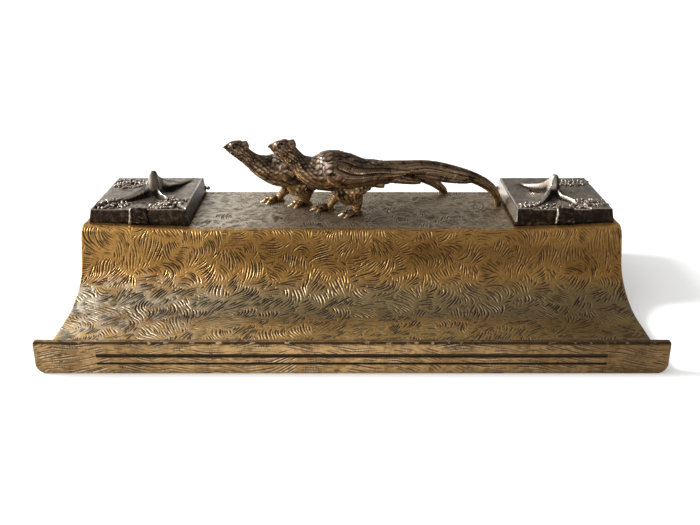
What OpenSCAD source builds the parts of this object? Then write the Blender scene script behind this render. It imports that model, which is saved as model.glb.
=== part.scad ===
// Double desk inkstand in cast bronze: a long base with a pen tray, two hinged
// ink wells and a pair of walking pheasants bolted to its deck.
// Millimetres. X runs to the right, Y to the back, Z up from the table.

/* [Base] */
// Length of the base
base_w = 350; // [320:1:400]
// Depth of the base, front to back
base_d = 190; // [180:1:220]
// Height of the deck between the wells
deck_h = 46.3; // [44:0.1:60]
// How much the deck's edge rises towards each end
deck_rise = 3; // [1:0.1:3.2]
// Depth of the deck, from the back to the edge of the front wall
deck_d = 85.4; // [84.5:0.1:92]
// Radius of the deck's front edge
deck_edge_r = 6.5; // [3:0.1:8]
// Thickness of the casting
wall_t = 3; // [2.4:0.1:3.6]
// Lean of the front wall from upright, in degrees
wall_lean = 18; // [10:1:22]
// Height at which the front wall starts to sweep forward
sweep_z = 30; // [27:0.5:34]
// Radius of the upper part of the sweep
sweep_r = 24; // [16:0.5:28]
// Slope where the two arcs of the sweep meet, in degrees from upright
sweep_break = 55; // [45:1:62]
// Height of the pen tray where the sweep ends
tray_h = 6.2; // [5.4:0.1:8]
// Height of the front lip
lip_h = 18.8; // [14:0.1:24]
// Thickness of the front lip
lip_t = 4.8; // [3.6:0.1:7]
// Radius of the lower end corners
end_r = 6; // [3:0.5:8]
// Length of the sunk band along the lip
band_w = 282; // [200:1:310]
// Depth of the band's grooves
band_t = 0.9; // [0.4:0.1:1.5]

/* [Lids] */
// Width of a lid at its rim
lid_w = 65; // [60:0.5:66]
// Depth of a lid at its rim
lid_d = 73.7; // [68:0.1:74]
// Height of a lid, rim to top
lid_h = 8.8; // [8:0.1:12]
// How far a lid's front and sides lean in
lid_lean = 1.3; // [0.5:0.1:2]
// Thickness of a lid's side walls
lid_wall = 2.6; // [2:0.1:3.5]
// Distance from a lid to the end of the base
lid_margin = 2.7; // [2:0.1:8]
// Height of the pinched finial above the lid
finial_h = 15; // [8:0.2:20]
// Radius of the finial
finial_r = 3.2; // [2.4:0.1:4.5]
// Width of the thumb strap at the front
strap_w = 12; // [8:0.5:18]

/* [Ink wells] */
// Thickness of the frame under each lid
frame_t = 3.4; // [3:0.1:5]
// How far the frame stays inside the lid's rim
frame_inset = 0.1; // [0:0.1:4]
// Outer diameter of the glass pot
pot_d = 43; // [34:0.5:45]
// Depth of the glass pot
pot_h = 38; // [25:0.5:40]
// Thickness of the glass
pot_wall = 2.6; // [2:0.1:4]
// Width of the pot's flange
flange_w = 3; // [2:0.1:4]
// Thickness of the pot's flange
flange_t = 2; // [1.2:0.1:2.4]
// Diameter of the frame screws
screw_d = 2; // [1.6:0.1:2.4]

/* [Hinges] */
// Diameter of the hinge pin
pin_d = 1.6; // [1.2:0.1:1.8]
// Diameter of the knuckles
knuckle_d = 3.2; // [2.8:0.1:3.6]
// Length of the lid's knuckle
leaf_w = 24; // [16:0.5:30]
// Thickness of the hinge leaf
leaf_t = 1.1; // [0.8:0.1:1.4]
// Diameter of the leaf's rivets
rivet_d = 1.2; // [1:0.1:1.4]
// How far the pin stands out at its inner end
pin_reach = 3; // [2.5:0.1:5]

/* [Pheasants] */
// Place of the near bird along the base
near_x = 5; // [-10:0.5:5]
// Distance of the near bird from the back of the base
near_back = 48; // [47:0.5:51]
// Turn of the near bird, in degrees
near_turn = 9; // [4:0.5:10]
// Place of the far bird along the base
far_x = -32; // [-45:0.5:-20]
// Distance of the far bird from the back of the base
far_back = 28; // [27:0.5:29]
// Turn of the far bird, in degrees
far_turn = 14; // [11:0.5:14.5]
// Diameter of the studs under the feet
stud_d = 2.4; // [2:0.1:3]
// Thickness of the nuts
nut_t = 2; // [1.5:0.1:3]
// Thickness of the washers
washer_t = 0.6; // [0.4:0.1:1.2]

/* [Hidden] */

$fn = 64;

// Running gap round a pin, gap round a fixed screw or stud, gap between castings
run_gap = 0.05;
fix_gap = 0.1;
seat_gap = 0.2;
cast_gap = 0.4;

bronze = "#8a6a3a";
dark_bronze = "#4a423a";
bird_bronze = "#5a3f2a";
brass = "#b08d45";

front_y = -base_d / 2;
back_y = base_d / 2;
end_x = base_w / 2;
deck_top = deck_h + deck_rise;
deck_under = deck_h - wall_t;
tray_slope = 88;

// How far the hinge line lies above the lid's rim, and the lid's walls end below its top
hinge_up = 0.4;
top_sink = 2.8;

// Hinge line, then the lid and the well that hang on it
hinge_y = back_y - knuckle_d / 2 - run_gap;
frame_top = deck_h + frame_t;
lid_z = frame_top + seat_gap;
hinge_z = lid_z + hinge_up;
lid_back = hinge_y - knuckle_d / 2 - seat_gap;
lid_y = lid_back - lid_d / 2;
lid_x = end_x - lid_margin - lid_w / 2;
lid_top = lid_z + lid_h;
roof_z = lid_top - top_sink;
roof_t = 1.4;
frame_w = lid_w - 2 * frame_inset;
frame_front = lid_y - lid_d / 2 + frame_inset;
frame_d = lid_back - seat_gap - frame_front;
frame_y = frame_front + frame_d / 2;
pot_top = frame_top;
frame_bore = pot_d / 2 + cast_gap;
flange_r = pot_d / 2 + flange_w;
screw_in = 5;
screw_head_r = screw_d;
// Where the deck's edge starts to rise, just inside the frame
rise_x = lid_x - frame_w / 2 - 3 * cast_gap;

// The two birds, and their feet as places along and across the bird
near_y = back_y - near_back;
far_y = back_y - far_back;
near_feet = [[-3, -5.4], [-22.6, 9.4]];
far_feet = [[-2, -3.6], [-21.4, 10.4]];
foot_hole_h = 3;

// Width of the flat on which each end stands, past its rounded corner
rest_w = 2;
// Radius between the tray and the lip, and along the lip's top
tray_fillet = 4;
lip_r = lip_t / 3;
// Bottom and height of the band's two grooves, as shares of the lip's height
grooves = [[0.31, 0.05], [0.54, 0.1]];

// Direction out of the front surface where it leans by a degrees from upright
function out(a) = [-cos(a), sin(a)];

// Line of the front wall, and the centres and ends of the two arcs of its sweep
function wall_y(z) = back_y - deck_d - (deck_top - z) * tan(wall_lean);
sweep_c = [wall_y(sweep_z), sweep_z] + sweep_r * out(wall_lean);
break_p = sweep_c - sweep_r * out(sweep_break);
low_r = (break_p[1] - tray_h) / (sin(tray_slope) - sin(sweep_break));
low_c = break_p + low_r * out(sweep_break);

// Points of an arc about c from slope a to slope b; a negative r gives a hollow one
function arc(c, r, a, b, first = 0, n = 16) = [for (i = [first:n]) c + r * out(a + (b - a) * i / n)];

// The wall's sweep and the tray in side view, as [Y, Z]; in is how far inside the surface it runs
function sweep_line(in) = concat(arc(sweep_c, -sweep_r - in, wall_lean, sweep_break),
    arc(low_c, -low_r - in, sweep_break, tray_slope, 1));
function last(v) = v[len(v) - 1];
function tray_z(y, in) = let (p = last(sweep_line(in))) p[1] - (p[0] - y) / tan(tray_slope);

// Outline of the base in side view, from the back over the deck to the lip
lip_y = front_y + lip_t;
fillet_y = lip_y + tray_fillet;
fillet_c = [fillet_y, tray_z(fillet_y + tray_fillet * cos(tray_slope), 0) + tray_fillet * sin(tray_slope)];
function edge_c(top) = [wall_y(top) + deck_edge_r * tan((90 - wall_lean) / 2), top - deck_edge_r];
function side_view(top) = concat([[back_y, -end_r], [back_y, top]],
    arc(edge_c(top), deck_edge_r, 90, wall_lean, 0, 10), sweep_line(0),
    arc(fillet_c, -tray_fillet, tray_slope, 180, 0, 8),
    arc([lip_y - lip_r, lip_h - lip_r], lip_r, 180, 90, 0, 6),
    arc([front_y + lip_r, lip_h - lip_r], lip_r, 90, 0, 0, 6), [[front_y, -end_r]]);

// Outline of the base in front view, with rounded lower corners
module front_view() polygon(concat([[end_x, 2 * deck_top], [-end_x, 2 * deck_top]],
    [for (a = [180:9:270]) [end_r - end_x, end_r] + end_r * [cos(a), sin(a)]],
    [for (a = [270:9:360]) [end_x - end_r, end_r] + end_r * [cos(a), sin(a)]]));

// The side view, drawn along the base and past its ends, with the deck rising
// over the last stretch towards each end
module side_loft() {
    past = end_x + end_r;
    past_top = deck_h + deck_rise * (past - rise_x) / (end_x - rise_x);
    xs = [-past, -rise_x, rise_x, past];
    views = [side_view(past_top), side_view(deck_h), side_view(deck_h), side_view(past_top)];
    n = len(views[0]);
    function at(k, i) = k * n + i % n;
    polyhedron([for (k = [0:3], p = views[k]) [xs[k], p[0], p[1]]],
        concat([[for (i = [0:n - 1]) i], [for (i = [n - 1:-1:0]) at(3, i)]],
            [for (k = [0:2], i = [0:n - 1]) [at(k, i), at(k + 1, i), at(k + 1, i + 1), at(k, i + 1)]]));
}
module outer_body() intersection() {
    side_loft();
    rotate([90, 0, 0]) translate([0, 0, -base_d]) linear_extrude(2 * base_d) front_view();
}

// Hollow of the casting, open underneath; its ends keep clear of the rounded corners
module hollow() difference() {
    along_x(base_w - 2 * wall_t) polygon(concat([[back_y - wall_t, -1], [back_y - wall_t, deck_under],
        [wall_y(deck_under) + wall_t / cos(wall_lean), deck_under]], sweep_line(wall_t),
        [[lip_y, tray_z(lip_y, wall_t)], [lip_y, -1]]));
    both() translate([end_x - end_r - rest_w, -base_d, -2]) cube([base_w, 2 * base_d, end_r + 2]);
}

module along_x(w) rotate([90, 0, 90]) translate([0, 0, -w / 2]) linear_extrude(w) children();

// Puts what is drawn for the right end at the left end as well, or instead
module both() { children(); mirror([1, 0, 0]) children(); }
module left() mirror([1, 0, 0]) children();

module frame_pocket()
    translate([lid_x - frame_w / 2 - cast_gap, frame_y - frame_d / 2 - cast_gap, deck_h])
        cube([frame_w + 2 * cast_gap, base_d, deck_rise + 1]);

module at_frame_screws() for (x = [-1, 1], y = [-1, 1])
    translate([lid_x + x * (frame_w / 2 - screw_in), frame_y + y * (frame_d / 2 - screw_in), 0]) children();

// Places children under each foot of a bird, on the deck
module at_feet(x, y, turn, feet) translate([x, y, deck_h]) rotate(turn)
    for (f = feet) translate([f[0], f[1], 0]) children();
module at_near_feet() at_feet(near_x, near_y, near_turn, near_feet) children();
module at_far_feet() at_feet(far_x, far_y, far_turn, far_feet) children();

module base_casting() color(bronze) difference() {
    outer_body();
    hollow();
    both() {
        frame_pocket();
        translate([lid_x, lid_y, deck_under - 1]) cylinder(r = frame_bore + 1, h = wall_t + 2);
        at_frame_screws() translate([0, 0, deck_under - 1])
            cylinder(d = screw_d + 2 * fix_gap, h = wall_t + 2);
    }
    for (g = grooves) translate([-band_w / 2, front_y - 1, lip_h * g[0]])
        cube([band_w, 1 + band_t, lip_h * g[1]]);
    at_near_feet() stud_hole();
    at_far_feet() stud_hole();
}
module stud_hole() translate([0, 0, -wall_t - 1]) cylinder(d = stud_d + 2 * fix_gap, h = wall_t + 2);

// Frame of one well, with the two outer knuckles of the hinge
module well_frame() color(dark_bronze) difference() {
    union() {
        translate([lid_x - frame_w / 2, frame_y - frame_d / 2, deck_h]) cube([frame_w, frame_d, frame_t]);
        both_knuckles() {
            translate([0, frame_y, deck_h]) cube([knuckle_l, hinge_y - frame_y, frame_t]);
            translate([0, hinge_y, hinge_z]) rotate([0, 90, 0]) cylinder(d = knuckle_d, h = knuckle_l);
        }
    }
    translate([lid_x, lid_y, deck_h - 1]) cylinder(r = frame_bore, h = frame_t + 2);
    translate([lid_x, lid_y, pot_top - flange_t]) cylinder(r = flange_r + fix_gap, h = flange_t + 1);
    translate([0, hinge_y, hinge_z]) rotate([0, 90, 0]) cylinder(d = pin_d + 2 * run_gap, h = end_x);
    at_frame_screws() {
        translate([0, 0, deck_h - 1]) cylinder(d = screw_d + 2 * fix_gap, h = frame_t + 2);
        translate([0, 0, frame_top - screw_head_r])
            cylinder(r1 = 0, r2 = screw_head_r + fix_gap, h = screw_head_r + fix_gap);
    }
}
knuckle_l = (frame_w - leaf_w) / 2 - seat_gap;
module both_knuckles() {
    translate([lid_x - frame_w / 2, 0, 0]) children();
    translate([lid_x + frame_w / 2 - knuckle_l, 0, 0]) children();
}

// Countersunk screws that hold a frame to the deck
module frame_screws() color(brass) at_frame_screws() difference() {
    union() {
        translate([0, 0, deck_under - 1.5]) cylinder(d = screw_d, h = frame_t + wall_t);
        translate([0, 0, frame_top - screw_head_r]) cylinder(r1 = 0, r2 = screw_head_r, h = screw_head_r);
    }
    translate([-screw_head_r, -0.25, frame_top - 0.5]) cube([2 * screw_head_r, 0.5, 1]);
}

// Glass pot that lifts out of its frame
module ink_pot() color([0.75, 0.85, 0.85, 0.5]) translate([lid_x, lid_y, pot_top])
    rotate_extrude($fn = 96) difference() {
        union() {
            translate([0, -flange_t]) square([flange_r, flange_t]);
            translate([0, -pot_h]) square([pot_d / 2, pot_h]);
        }
        translate([0, pot_wall - pot_h]) square([pot_d / 2 - pot_wall, pot_h]);
    }

// Relief of the lid's top, in millimetres above its edge. x runs outwards and
// y to the back from the middle of the lid, where the cloth is pinched up.
function bump(d, w) = exp(-(d * d) / (w * w));
function side_of(d, w) = 1 / (1 + exp(-4 * d / w));
// Distance from p to the line from the finial to a, and how far along it p lies
function off(p, a) = abs(p[0] * a[1] - p[1] * a[0]) / norm(a);
function on(p, a) = (p * a) / (a * a);
// Where each fold ends, its height and its width
fold_out = [21, -21];
fold_in = [-19, -18];
folds = [[fold_out, 2.2, 3.4], [fold_in, 2, 3.2], [[-25, 32], 2.2, 3.6]];
function fold(p, f) = let (t = on(p, f[0]))
    t < 0 ? 0 : f[1] * bump(off(p, f[0]), f[2]) * max(0, 1 - t * t);
// Middle of each hollow, its depth and its radius
hollows = [[[-14, 9], 2.6, 9], [[13, -3], 1.1, 9]];
function dent(p, h) = h[1] * bump(norm(p - h[0]), h[2]);
// Positive between the two front folds, where the lower cloth shows
function between(p) = min(p * [fold_out[1], -fold_out[0]] / norm(fold_out),
    p * [-fold_in[1], fold_in[0]] / norm(fold_in));
// Height and radius of the mound under the pinch, and depth of the lower cloth
mound = [4.6, 10];
lower_cloth = 1.9;
function pinch(p) = 1 / (1 + pow(norm(p) / finial_r, 5));
function cloth(p) = mound[0] * bump(norm(p), mound[1]) + fold(p, folds[0]) + fold(p, folds[1])
    + fold(p, folds[2]) - dent(p, hollows[0]) - dent(p, hollows[1])
    - lower_cloth * side_of(between(p) - 2, 2.4) * side_of(norm(p) - 4, 3);
function relief(p) = finial_h * pinch(p) + (1 - pinch(p)) * rim_fade(p) * cloth(p);
function rim_fade(p) = let (e = min(top_w / 2 - abs(p[0]), p[1] - top_front, top_back - p[1]))
    max(0, min(1, e / 4));
top_in = 0.15;
top_w = lid_w - 2 * (lid_lean + top_in);
top_front = lid_lean + top_in - lid_d / 2;
top_back = lid_d / 2 - top_in;
side_n = 14;
ring_n = 18;
function ring_at(k) = 0.035 + 0.965 * pow((k - 1) / (ring_n - 1), 1.3);
function edge_point(i) = let (s = floor(i / side_n), t = (i % side_n) / side_n, w = top_w / 2,
    f = top_front, b = top_back)
    s == 0 ? [(2 * t - 1) * w, f] : s == 1 ? [w, f + t * (b - f)]
    : s == 2 ? [(1 - 2 * t) * w, b] : [-w, b - t * (b - f)];

module draped_top() {
    n = 4 * side_n;
    tops = [for (k = [1:ring_n], i = [0:n - 1])
        let (p = edge_point(i) * ring_at(k)) [p[0], p[1], lid_top + relief(p)]];
    foot = [for (i = [0:n - 1]) let (p = edge_point(i)) [p[0], p[1], roof_z - 1]];
    pts = concat([[0, 0, lid_top + relief([0, 0])]], tops, foot);
    function at(k, i) = 1 + (k - 1) * n + i % n;
    faces = concat(
        [for (i = [0:n - 1]) [0, at(1, i + 1), at(1, i)]],
        [for (k = [1:ring_n], i = [0:n - 1]) [at(k, i), at(k, i + 1), at(k + 1, i + 1)]],
        [for (k = [1:ring_n], i = [0:n - 1]) [at(k, i), at(k + 1, i + 1), at(k + 1, i)]],
        [[for (i = [0:n - 1]) at(ring_n + 1, i)]]);
    polyhedron(pts, faces);
}

// The front and the two ends lean in from the rim to the roof. The back is
// upright, so that the rivets of the hinge leaf seat square on it.
module lid_sides() {
    lean = lid_lean * (roof_z - lid_z) / lid_h;
    w = lid_w / 2;
    d = lid_d / 2;
    polyhedron([[-w, -d, lid_z], [w, -d, lid_z], [w, d, lid_z], [-w, d, lid_z],
        [lean - w, lean - d, roof_z], [w - lean, lean - d, roof_z],
        [w - lean, d, roof_z], [lean - w, d, roof_z]],
        [[0, 1, 2, 3], [7, 6, 5, 4], [0, 4, 5, 1], [1, 5, 6, 2], [2, 6, 7, 3], [3, 7, 4, 0]]);
}

// Strap of cloth that runs over the front edge and serves as a thumb tab: bars
// with round edges, laid along a line from the lid's top to below its rim
strap_t = 1.7;
strap_line = [[7, lid_top - 0.9], [lid_lean + 1.6, lid_top - 0.3], [lid_lean + 0.1, lid_top - 0.4],
    [lid_lean - 0.9, lid_top - 1.4], [-0.1, lid_top - 3.2], [-0.4, lid_z + 3.4], [-0.6, lid_z + 1.4],
    [-0.9, lid_z], [-1.3, lid_z - 0.6]];
strap_flare = 0.14;
module strap_bar(i) translate([0, strap_line[i][0] - lid_d / 2, strap_line[i][1]]) rotate([0, 90, 0])
    cylinder(d = strap_t, h = strap_w + i * strap_flare, center = true, $fn = 8);
module thumb_strap() for (i = [0:len(strap_line) - 2]) hull() {
    strap_bar(i);
    strap_bar(i + 1);
}

leaf_y = lid_back - lid_wall - leaf_t;
module at_rivets() for (x = [-1, 1])
    translate([lid_x + x * leaf_w * 0.3, lid_back, (lid_z + leaf_t + roof_z - roof_t) / 2])
        rotate([90, 0, 0]) children();

module lid() color(dark_bronze) difference() {
    translate([lid_x, lid_y, 0]) {
        difference() {
            lid_sides();
            translate([lid_wall - lid_w / 2, lid_wall - lid_d / 2, lid_z - 1])
                cube([lid_w - 2 * lid_wall, lid_d - 2 * lid_wall, roof_z - roof_t - lid_z + 1]);
        }
        draped_top();
        thumb_strap();
    }
    // Notch for the hinge leaf, and the holes for its rivets
    translate([lid_x - leaf_w / 2 - seat_gap, lid_back - lid_wall - 1, lid_z - 1])
        cube([leaf_w + 2 * seat_gap, lid_wall + 2, 1 + leaf_t + 2 * seat_gap]);
    at_rivets() translate([0, 0, -1]) cylinder(d = rivet_d + 2 * fix_gap, h = lid_wall + 2);
}

// Leaf inside the lid's back wall, with the middle knuckle
module hinge_leaf() color(brass) difference() {
    translate([lid_x - leaf_w / 2, 0, 0]) {
        translate([0, leaf_y, lid_z + seat_gap])
            cube([leaf_w, leaf_t, roof_z - roof_t - lid_z - 2 * seat_gap]);
        translate([0, leaf_y, lid_z + seat_gap]) cube([leaf_w, hinge_y - leaf_y, leaf_t]);
        translate([0, hinge_y, hinge_z]) rotate([0, 90, 0]) cylinder(d = knuckle_d, h = leaf_w);
    }
    translate([0, hinge_y, hinge_z]) rotate([0, 90, 0]) cylinder(d = pin_d + 2 * run_gap, h = end_x);
    at_rivets() cylinder(d = rivet_d + 2 * fix_gap, h = lid_wall + leaf_t + 1);
}

rivet_head_r = 0.9 * rivet_d;
rivet_head_t = 0.5;
module leaf_rivets() color(brass) at_rivets() {
    grip = lid_wall + leaf_t;
    translate([0, 0, -rivet_head_t]) cylinder(r1 = rivet_d / 2, r2 = rivet_head_r, h = rivet_head_t);
    cylinder(d = rivet_d, h = grip);
    translate([0, 0, grip]) cylinder(r1 = rivet_head_r, r2 = rivet_d / 2, h = rivet_head_t);
}

// Pin of one hinge, with a ball at its inner end and a flat head at its outer end
ball_r = 0.9 * pin_d;
pin_in = lid_x - frame_w / 2 - pin_reach;
pin_out = lid_x + frame_w / 2 + 0.3;
module hinge_pin() color(dark_bronze) translate([0, hinge_y, hinge_z]) {
    translate([pin_in, 0, 0]) rotate([0, 90, 0]) rotate_extrude() {
        intersection() {
            translate([0, ball_r]) circle(ball_r);
            square(2 * ball_r);
        }
        translate([0, ball_r]) square([pin_d / 2, pin_out - pin_in - ball_r]);
    }
}

// A tapered body along a curve. Each row of places holds how far back along the
// bird, how far to its left and how high the middle lies, then the half height
// and the half width there.
function curve(a, b, c, d, t) = 0.5 * (2 * b + (c - a) * t + (2 * a - 5 * b + 4 * c - d) * t * t
    + (3 * b - a - 3 * c + d) * t * t * t);
function row(rows, i) = rows[max(0, min(len(rows) - 1, i))];
function place(rows, u) = let (n = len(rows) - 1, i = min(n - 1, floor(u * n)))
    curve(row(rows, i - 1), rows[i], rows[i + 1], row(rows, i + 2), u * n - i);
function middle(rows, u) = let (p = place(rows, max(0, min(1, u)))) [p[0], p[1], p[2]];
function unit(v) = v / norm(v);

module body_along(rows, rings, sides) {
    d = 0.4 / rings;
    pts = [for (k = [0:rings]) let (u = k / rings, p = place(rows, u),
        run = unit(middle(rows, u + d) - middle(rows, u - d)),
        up = unit(cross(run, [0, 1, 0])), side = cross(up, run))
        for (j = [0:sides - 1]) let (a = 360 * j / sides)
            middle(rows, u) + up * max(0.2, p[3]) * cos(a) + side * max(0.2, p[4]) * sin(a)];
    function at(k, j) = k * sides + j % sides;
    faces = concat(
        [for (k = [0:rings - 1], j = [0:sides - 1]) [at(k, j), at(k, j + 1), at(k + 1, j + 1)]],
        [for (k = [0:rings - 1], j = [0:sides - 1]) [at(k, j), at(k + 1, j + 1), at(k + 1, j)]],
        [[for (j = [sides - 1:-1:0]) at(0, j)]],
        [[for (j = [0:sides - 1]) at(rings, j)]]);
    polyhedron(pts, faces);
}

// A foot: three toes in front and a short one behind, each a body of its own length
function toe(l) = [[1.3, 0, 1.7, 2, 2], [-0.28 * l, 0, 1.6, 1.9, 2], [-0.58 * l, 0, 1.1, 1.5, 1.6],
    [-0.86 * l, 0, 0.6, 1, 1.2], [-l, 0, 0.3, 0.4, 0.5]];
module foot() {
    for (t = [[-32, 10.6], [0, 12.4], [32, 10.6]]) rotate(t[0]) body_along(toe(t[1]), 6, 8);
    rotate(176) body_along(toe(5.6), 4, 8);
}

// A walking pheasant: trunk from beak to rump, ear tufts, wings, tail feathers, legs
module pheasant(trunk, tuft, wing, plumes, legs, feet) difference() {
    union() {
        body_along(trunk, 32, 16);
        for (m = [0, 1]) mirror([0, m, 0]) {
            body_along(wing, 12, 10);
            hull() {
                translate(tuft) sphere(0.6, $fn = 6);
                translate(tuft - [4, 0.6, 1.6]) sphere(1.6, $fn = 8);
            }
        }
        for (p = plumes) body_along(p, 16, 8);
        for (l = legs) body_along(l, 8, 8);
        for (f = feet) translate([f[0], f[1], 0]) foot();
    }
    translate([-200, -100, -20]) cube([400, 200, 20]);
    for (f = feet) translate([f[0], f[1], -1])
        cylinder(d = stud_d + 2 * fix_gap, h = 1 + foot_hole_h, $fn = 16);
}

near_trunk = [[-60.8, 0, 48.6, 0.3, 0.3], [-57.6, 0, 49.2, 1.9, 1.6], [-54, 0, 49.2, 4.2, 3.7],
    [-50, 0, 47.8, 6, 5], [-46, 0, 43.4, 5.8, 5], [-41.6, 0, 38, 6.4, 5.8],
    [-35.6, 0, 33, 8.8, 8.4], [-28, 0, 30.8, 12.2, 11.2], [-19, 0, 31, 14, 12.6], [-9, 0, 29.8, 13, 11.8],
    [2, 0, 28, 10.6, 9.4], [13, 0, 27.6, 8.8, 7], [24, 0, 28.4, 7.4, 5], [34, 0, 28.4, 6.4, 4]];
near_tuft = [-43.6, 2.6, 51.4];
near_wing = [[-26, 9, 32, 1.5, 1], [-22, 10.4, 32, 7, 2.6], [-12, 10.6, 31, 9.4, 2.8], [0, 8.4, 29, 8, 2.6],
    [14, 5.6, 28.6, 5.4, 2.2], [28, 3.4, 29, 3.6, 1.6], [40, 2.4, 29, 1, 0.8]];
near_plumes = [
    [[10, 0, 30.4, 6, 5], [28, 0, 30.2, 5.8, 4.2], [48, 0, 29.2, 6, 3.4], [66, 0, 26.2, 4.6, 3],
        [81.4, 0, 21.2, 3.8, 2.6], [92, 0, 15, 3.3, 2.4], [98.1, 0, 7.8, 2.7, 2.2], [99.7, 0, -1, 2.2, 2]],
    [[18, -2.4, 25.4, 3.6, 2.2], [36, -2.8, 23, 3.8, 2], [56, -2.4, 23.8, 2.8, 1.8], [72, -1.6, 21, 2.2, 1.5],
        [83, -1, 17.8, 0.8, 0.8]],
    [[18, 2.4, 25, 3.4, 2.2], [34, 2.6, 23, 3.4, 2], [50, 2.2, 23.4, 2.6, 1.7], [64, 1.6, 22, 1, 0.8]]];
near_legs = [
    [[0, -5, 24, 10, 4.6], [1.2, -5.4, 17, 8, 4.6], [0.2, -5.6, 12.4, 4.6, 3.8], [-1.6, -5.6, 8, 2.7, 2.6],
        [-3, -5.4, 1, 2.2, 2.2]],
    [[-8, 5, 23, 8, 4.4], [-9.6, 6.4, 16, 5.4, 4], [-12.6, 7.8, 10.4, 3.2, 3], [-17.8, 8.8, 5.6, 2.5, 2.4],
        [-22.6, 9.4, 1.6, 2.2, 2.2]]];

far_trunk = [[-56.6, 0, 44.4, 0.3, 0.3], [-53.6, 0, 45.2, 1.9, 1.6], [-50, 0, 45, 4, 3.6],
    [-46, 0, 43.2, 5.6, 4.9], [-42.4, 0, 38.8, 5.1, 4.6], [-37.4, 0, 34.2, 5.7, 5.2],
    [-30.8, 0, 30, 8, 7.6], [-23, 0, 27.4, 10.8, 10], [-14, 0, 25.6, 11.8, 11.2], [-4, 0, 24.8, 11, 10.8],
    [6, 0, 24.4, 9.4, 9], [16, 0, 24.6, 8, 6.8], [27, 0, 25, 6.6, 5], [37, 0, 24.8, 5.8, 4]];
far_tuft = [-40.6, 2.4, 46.4];
far_wing = [[-21, 8.4, 27, 1.5, 1], [-17, 9.4, 27, 6.4, 2.4], [-8, 9.8, 26.4, 8.4, 2.6],
    [4, 8, 25.4, 7.2, 2.4], [17, 5.4, 25.2, 5, 2.1], [30, 3.4, 25.4, 3.4, 1.6], [42, 2.4, 25, 1, 0.8]];
far_plumes = [
    [[12, 0, 26.8, 5.8, 5], [30, 0, 26.2, 5.4, 4.2], [50, 0, 24, 5.3, 3.4], [68, 0, 20.2, 4.4, 3],
        [84, 0, 14.6, 3.7, 2.6], [95.6, 0, 8.8, 3.1, 2.3], [102.4, 0, 3, 2.6, 2], [104.4, 0, -1.6, 2.1, 1.8]],
    [[20, -2.4, 22.6, 3.4, 2.2], [38, -2.8, 20.2, 3.4, 2], [56, -2.2, 18.4, 2.7, 1.7],
        [74, -1.2, 13.8, 0.8, 0.8]],
    [[20, 2.4, 22.4, 3.4, 2.2], [36, 2.6, 20.6, 3.4, 2], [50, 2.2, 19.6, 2.6, 1.7], [64, 1.6, 17.2, 1, 0.8]]];
far_legs = [
    [[1, -3.4, 22, 9.2, 4.4], [1.6, -3.6, 15.6, 7.2, 4.4], [1, -3.8, 11, 4.2, 3.6], [-0.6, -3.8, 7, 2.6, 2.5],
        [-2, -3.6, 1, 2.1, 2.1]],
    [[-7, 5, 21, 7.6, 4.2], [-8.8, 6.6, 14.6, 5, 3.8], [-12, 8.4, 9.4, 3, 2.8], [-17, 9.6, 5.2, 2.4, 2.3],
        [-21.4, 10.4, 1.6, 2.1, 2.1]]];

module near_pheasant() color(bird_bronze) translate([near_x, near_y, deck_h]) rotate(near_turn)
    pheasant(near_trunk, near_tuft, near_wing, near_plumes, near_legs, near_feet);
module far_pheasant() color(bird_bronze) translate([far_x, far_y, deck_h]) rotate(far_turn)
    pheasant(far_trunk, far_tuft, far_wing, far_plumes, far_legs, far_feet);

module stud() color(brass) translate([0, 0, -wall_t - washer_t - nut_t - 1])
    cylinder(d = stud_d, h = wall_t + washer_t + nut_t + 1 + foot_hole_h - seat_gap);
module washer() color(brass) translate([0, 0, -wall_t - washer_t]) difference() {
    cylinder(d = 3 * stud_d, h = washer_t);
    translate([0, 0, -1]) cylinder(d = stud_d + 2 * fix_gap, h = washer_t + 2);
}
module nut() color(brass) translate([0, 0, -wall_t - washer_t - nut_t]) difference() {
    cylinder(d = 2.3 * stud_d, h = nut_t, $fn = 6);
    translate([0, 0, -1]) cylinder(d = stud_d + 2 * fix_gap, h = nut_t + 2);
}

base_casting();
left() well_frame();  // left_well_frame
well_frame();  // right_well_frame
left() frame_screws();  // left_frame_screws
frame_screws();  // right_frame_screws
left() ink_pot();  // left_ink_pot
ink_pot();  // right_ink_pot
left() lid();  // left_lid
lid();  // right_lid
left() hinge_leaf();  // left_hinge_leaf
hinge_leaf();  // right_hinge_leaf
left() leaf_rivets();  // left_leaf_rivets
leaf_rivets();  // right_leaf_rivets
left() hinge_pin();  // left_hinge_pin
hinge_pin();  // right_hinge_pin
near_pheasant();
far_pheasant();
at_near_feet() stud();  // near_studs
at_far_feet() stud();  // far_studs
at_near_feet() washer();  // near_washers
at_far_feet() washer();  // far_washers
at_near_feet() nut();  // near_nuts
at_far_feet() nut();  // far_nuts
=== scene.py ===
import math

import bpy
import numpy as np
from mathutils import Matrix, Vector


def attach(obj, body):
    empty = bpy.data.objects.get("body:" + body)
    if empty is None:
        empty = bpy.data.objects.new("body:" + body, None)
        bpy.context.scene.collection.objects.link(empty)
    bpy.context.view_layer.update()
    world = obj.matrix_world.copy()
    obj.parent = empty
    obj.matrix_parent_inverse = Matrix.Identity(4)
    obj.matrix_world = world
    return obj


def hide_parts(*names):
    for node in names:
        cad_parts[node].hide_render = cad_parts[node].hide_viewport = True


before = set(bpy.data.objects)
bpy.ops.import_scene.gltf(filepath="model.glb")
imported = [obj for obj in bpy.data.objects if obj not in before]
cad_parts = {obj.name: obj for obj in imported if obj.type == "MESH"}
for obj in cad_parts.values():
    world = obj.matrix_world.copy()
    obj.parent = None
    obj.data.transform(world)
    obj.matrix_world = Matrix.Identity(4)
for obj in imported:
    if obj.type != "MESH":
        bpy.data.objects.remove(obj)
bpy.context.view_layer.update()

# Sizes below are in millimetres, and a mesh is made in metres
MM = 0.001
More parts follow.
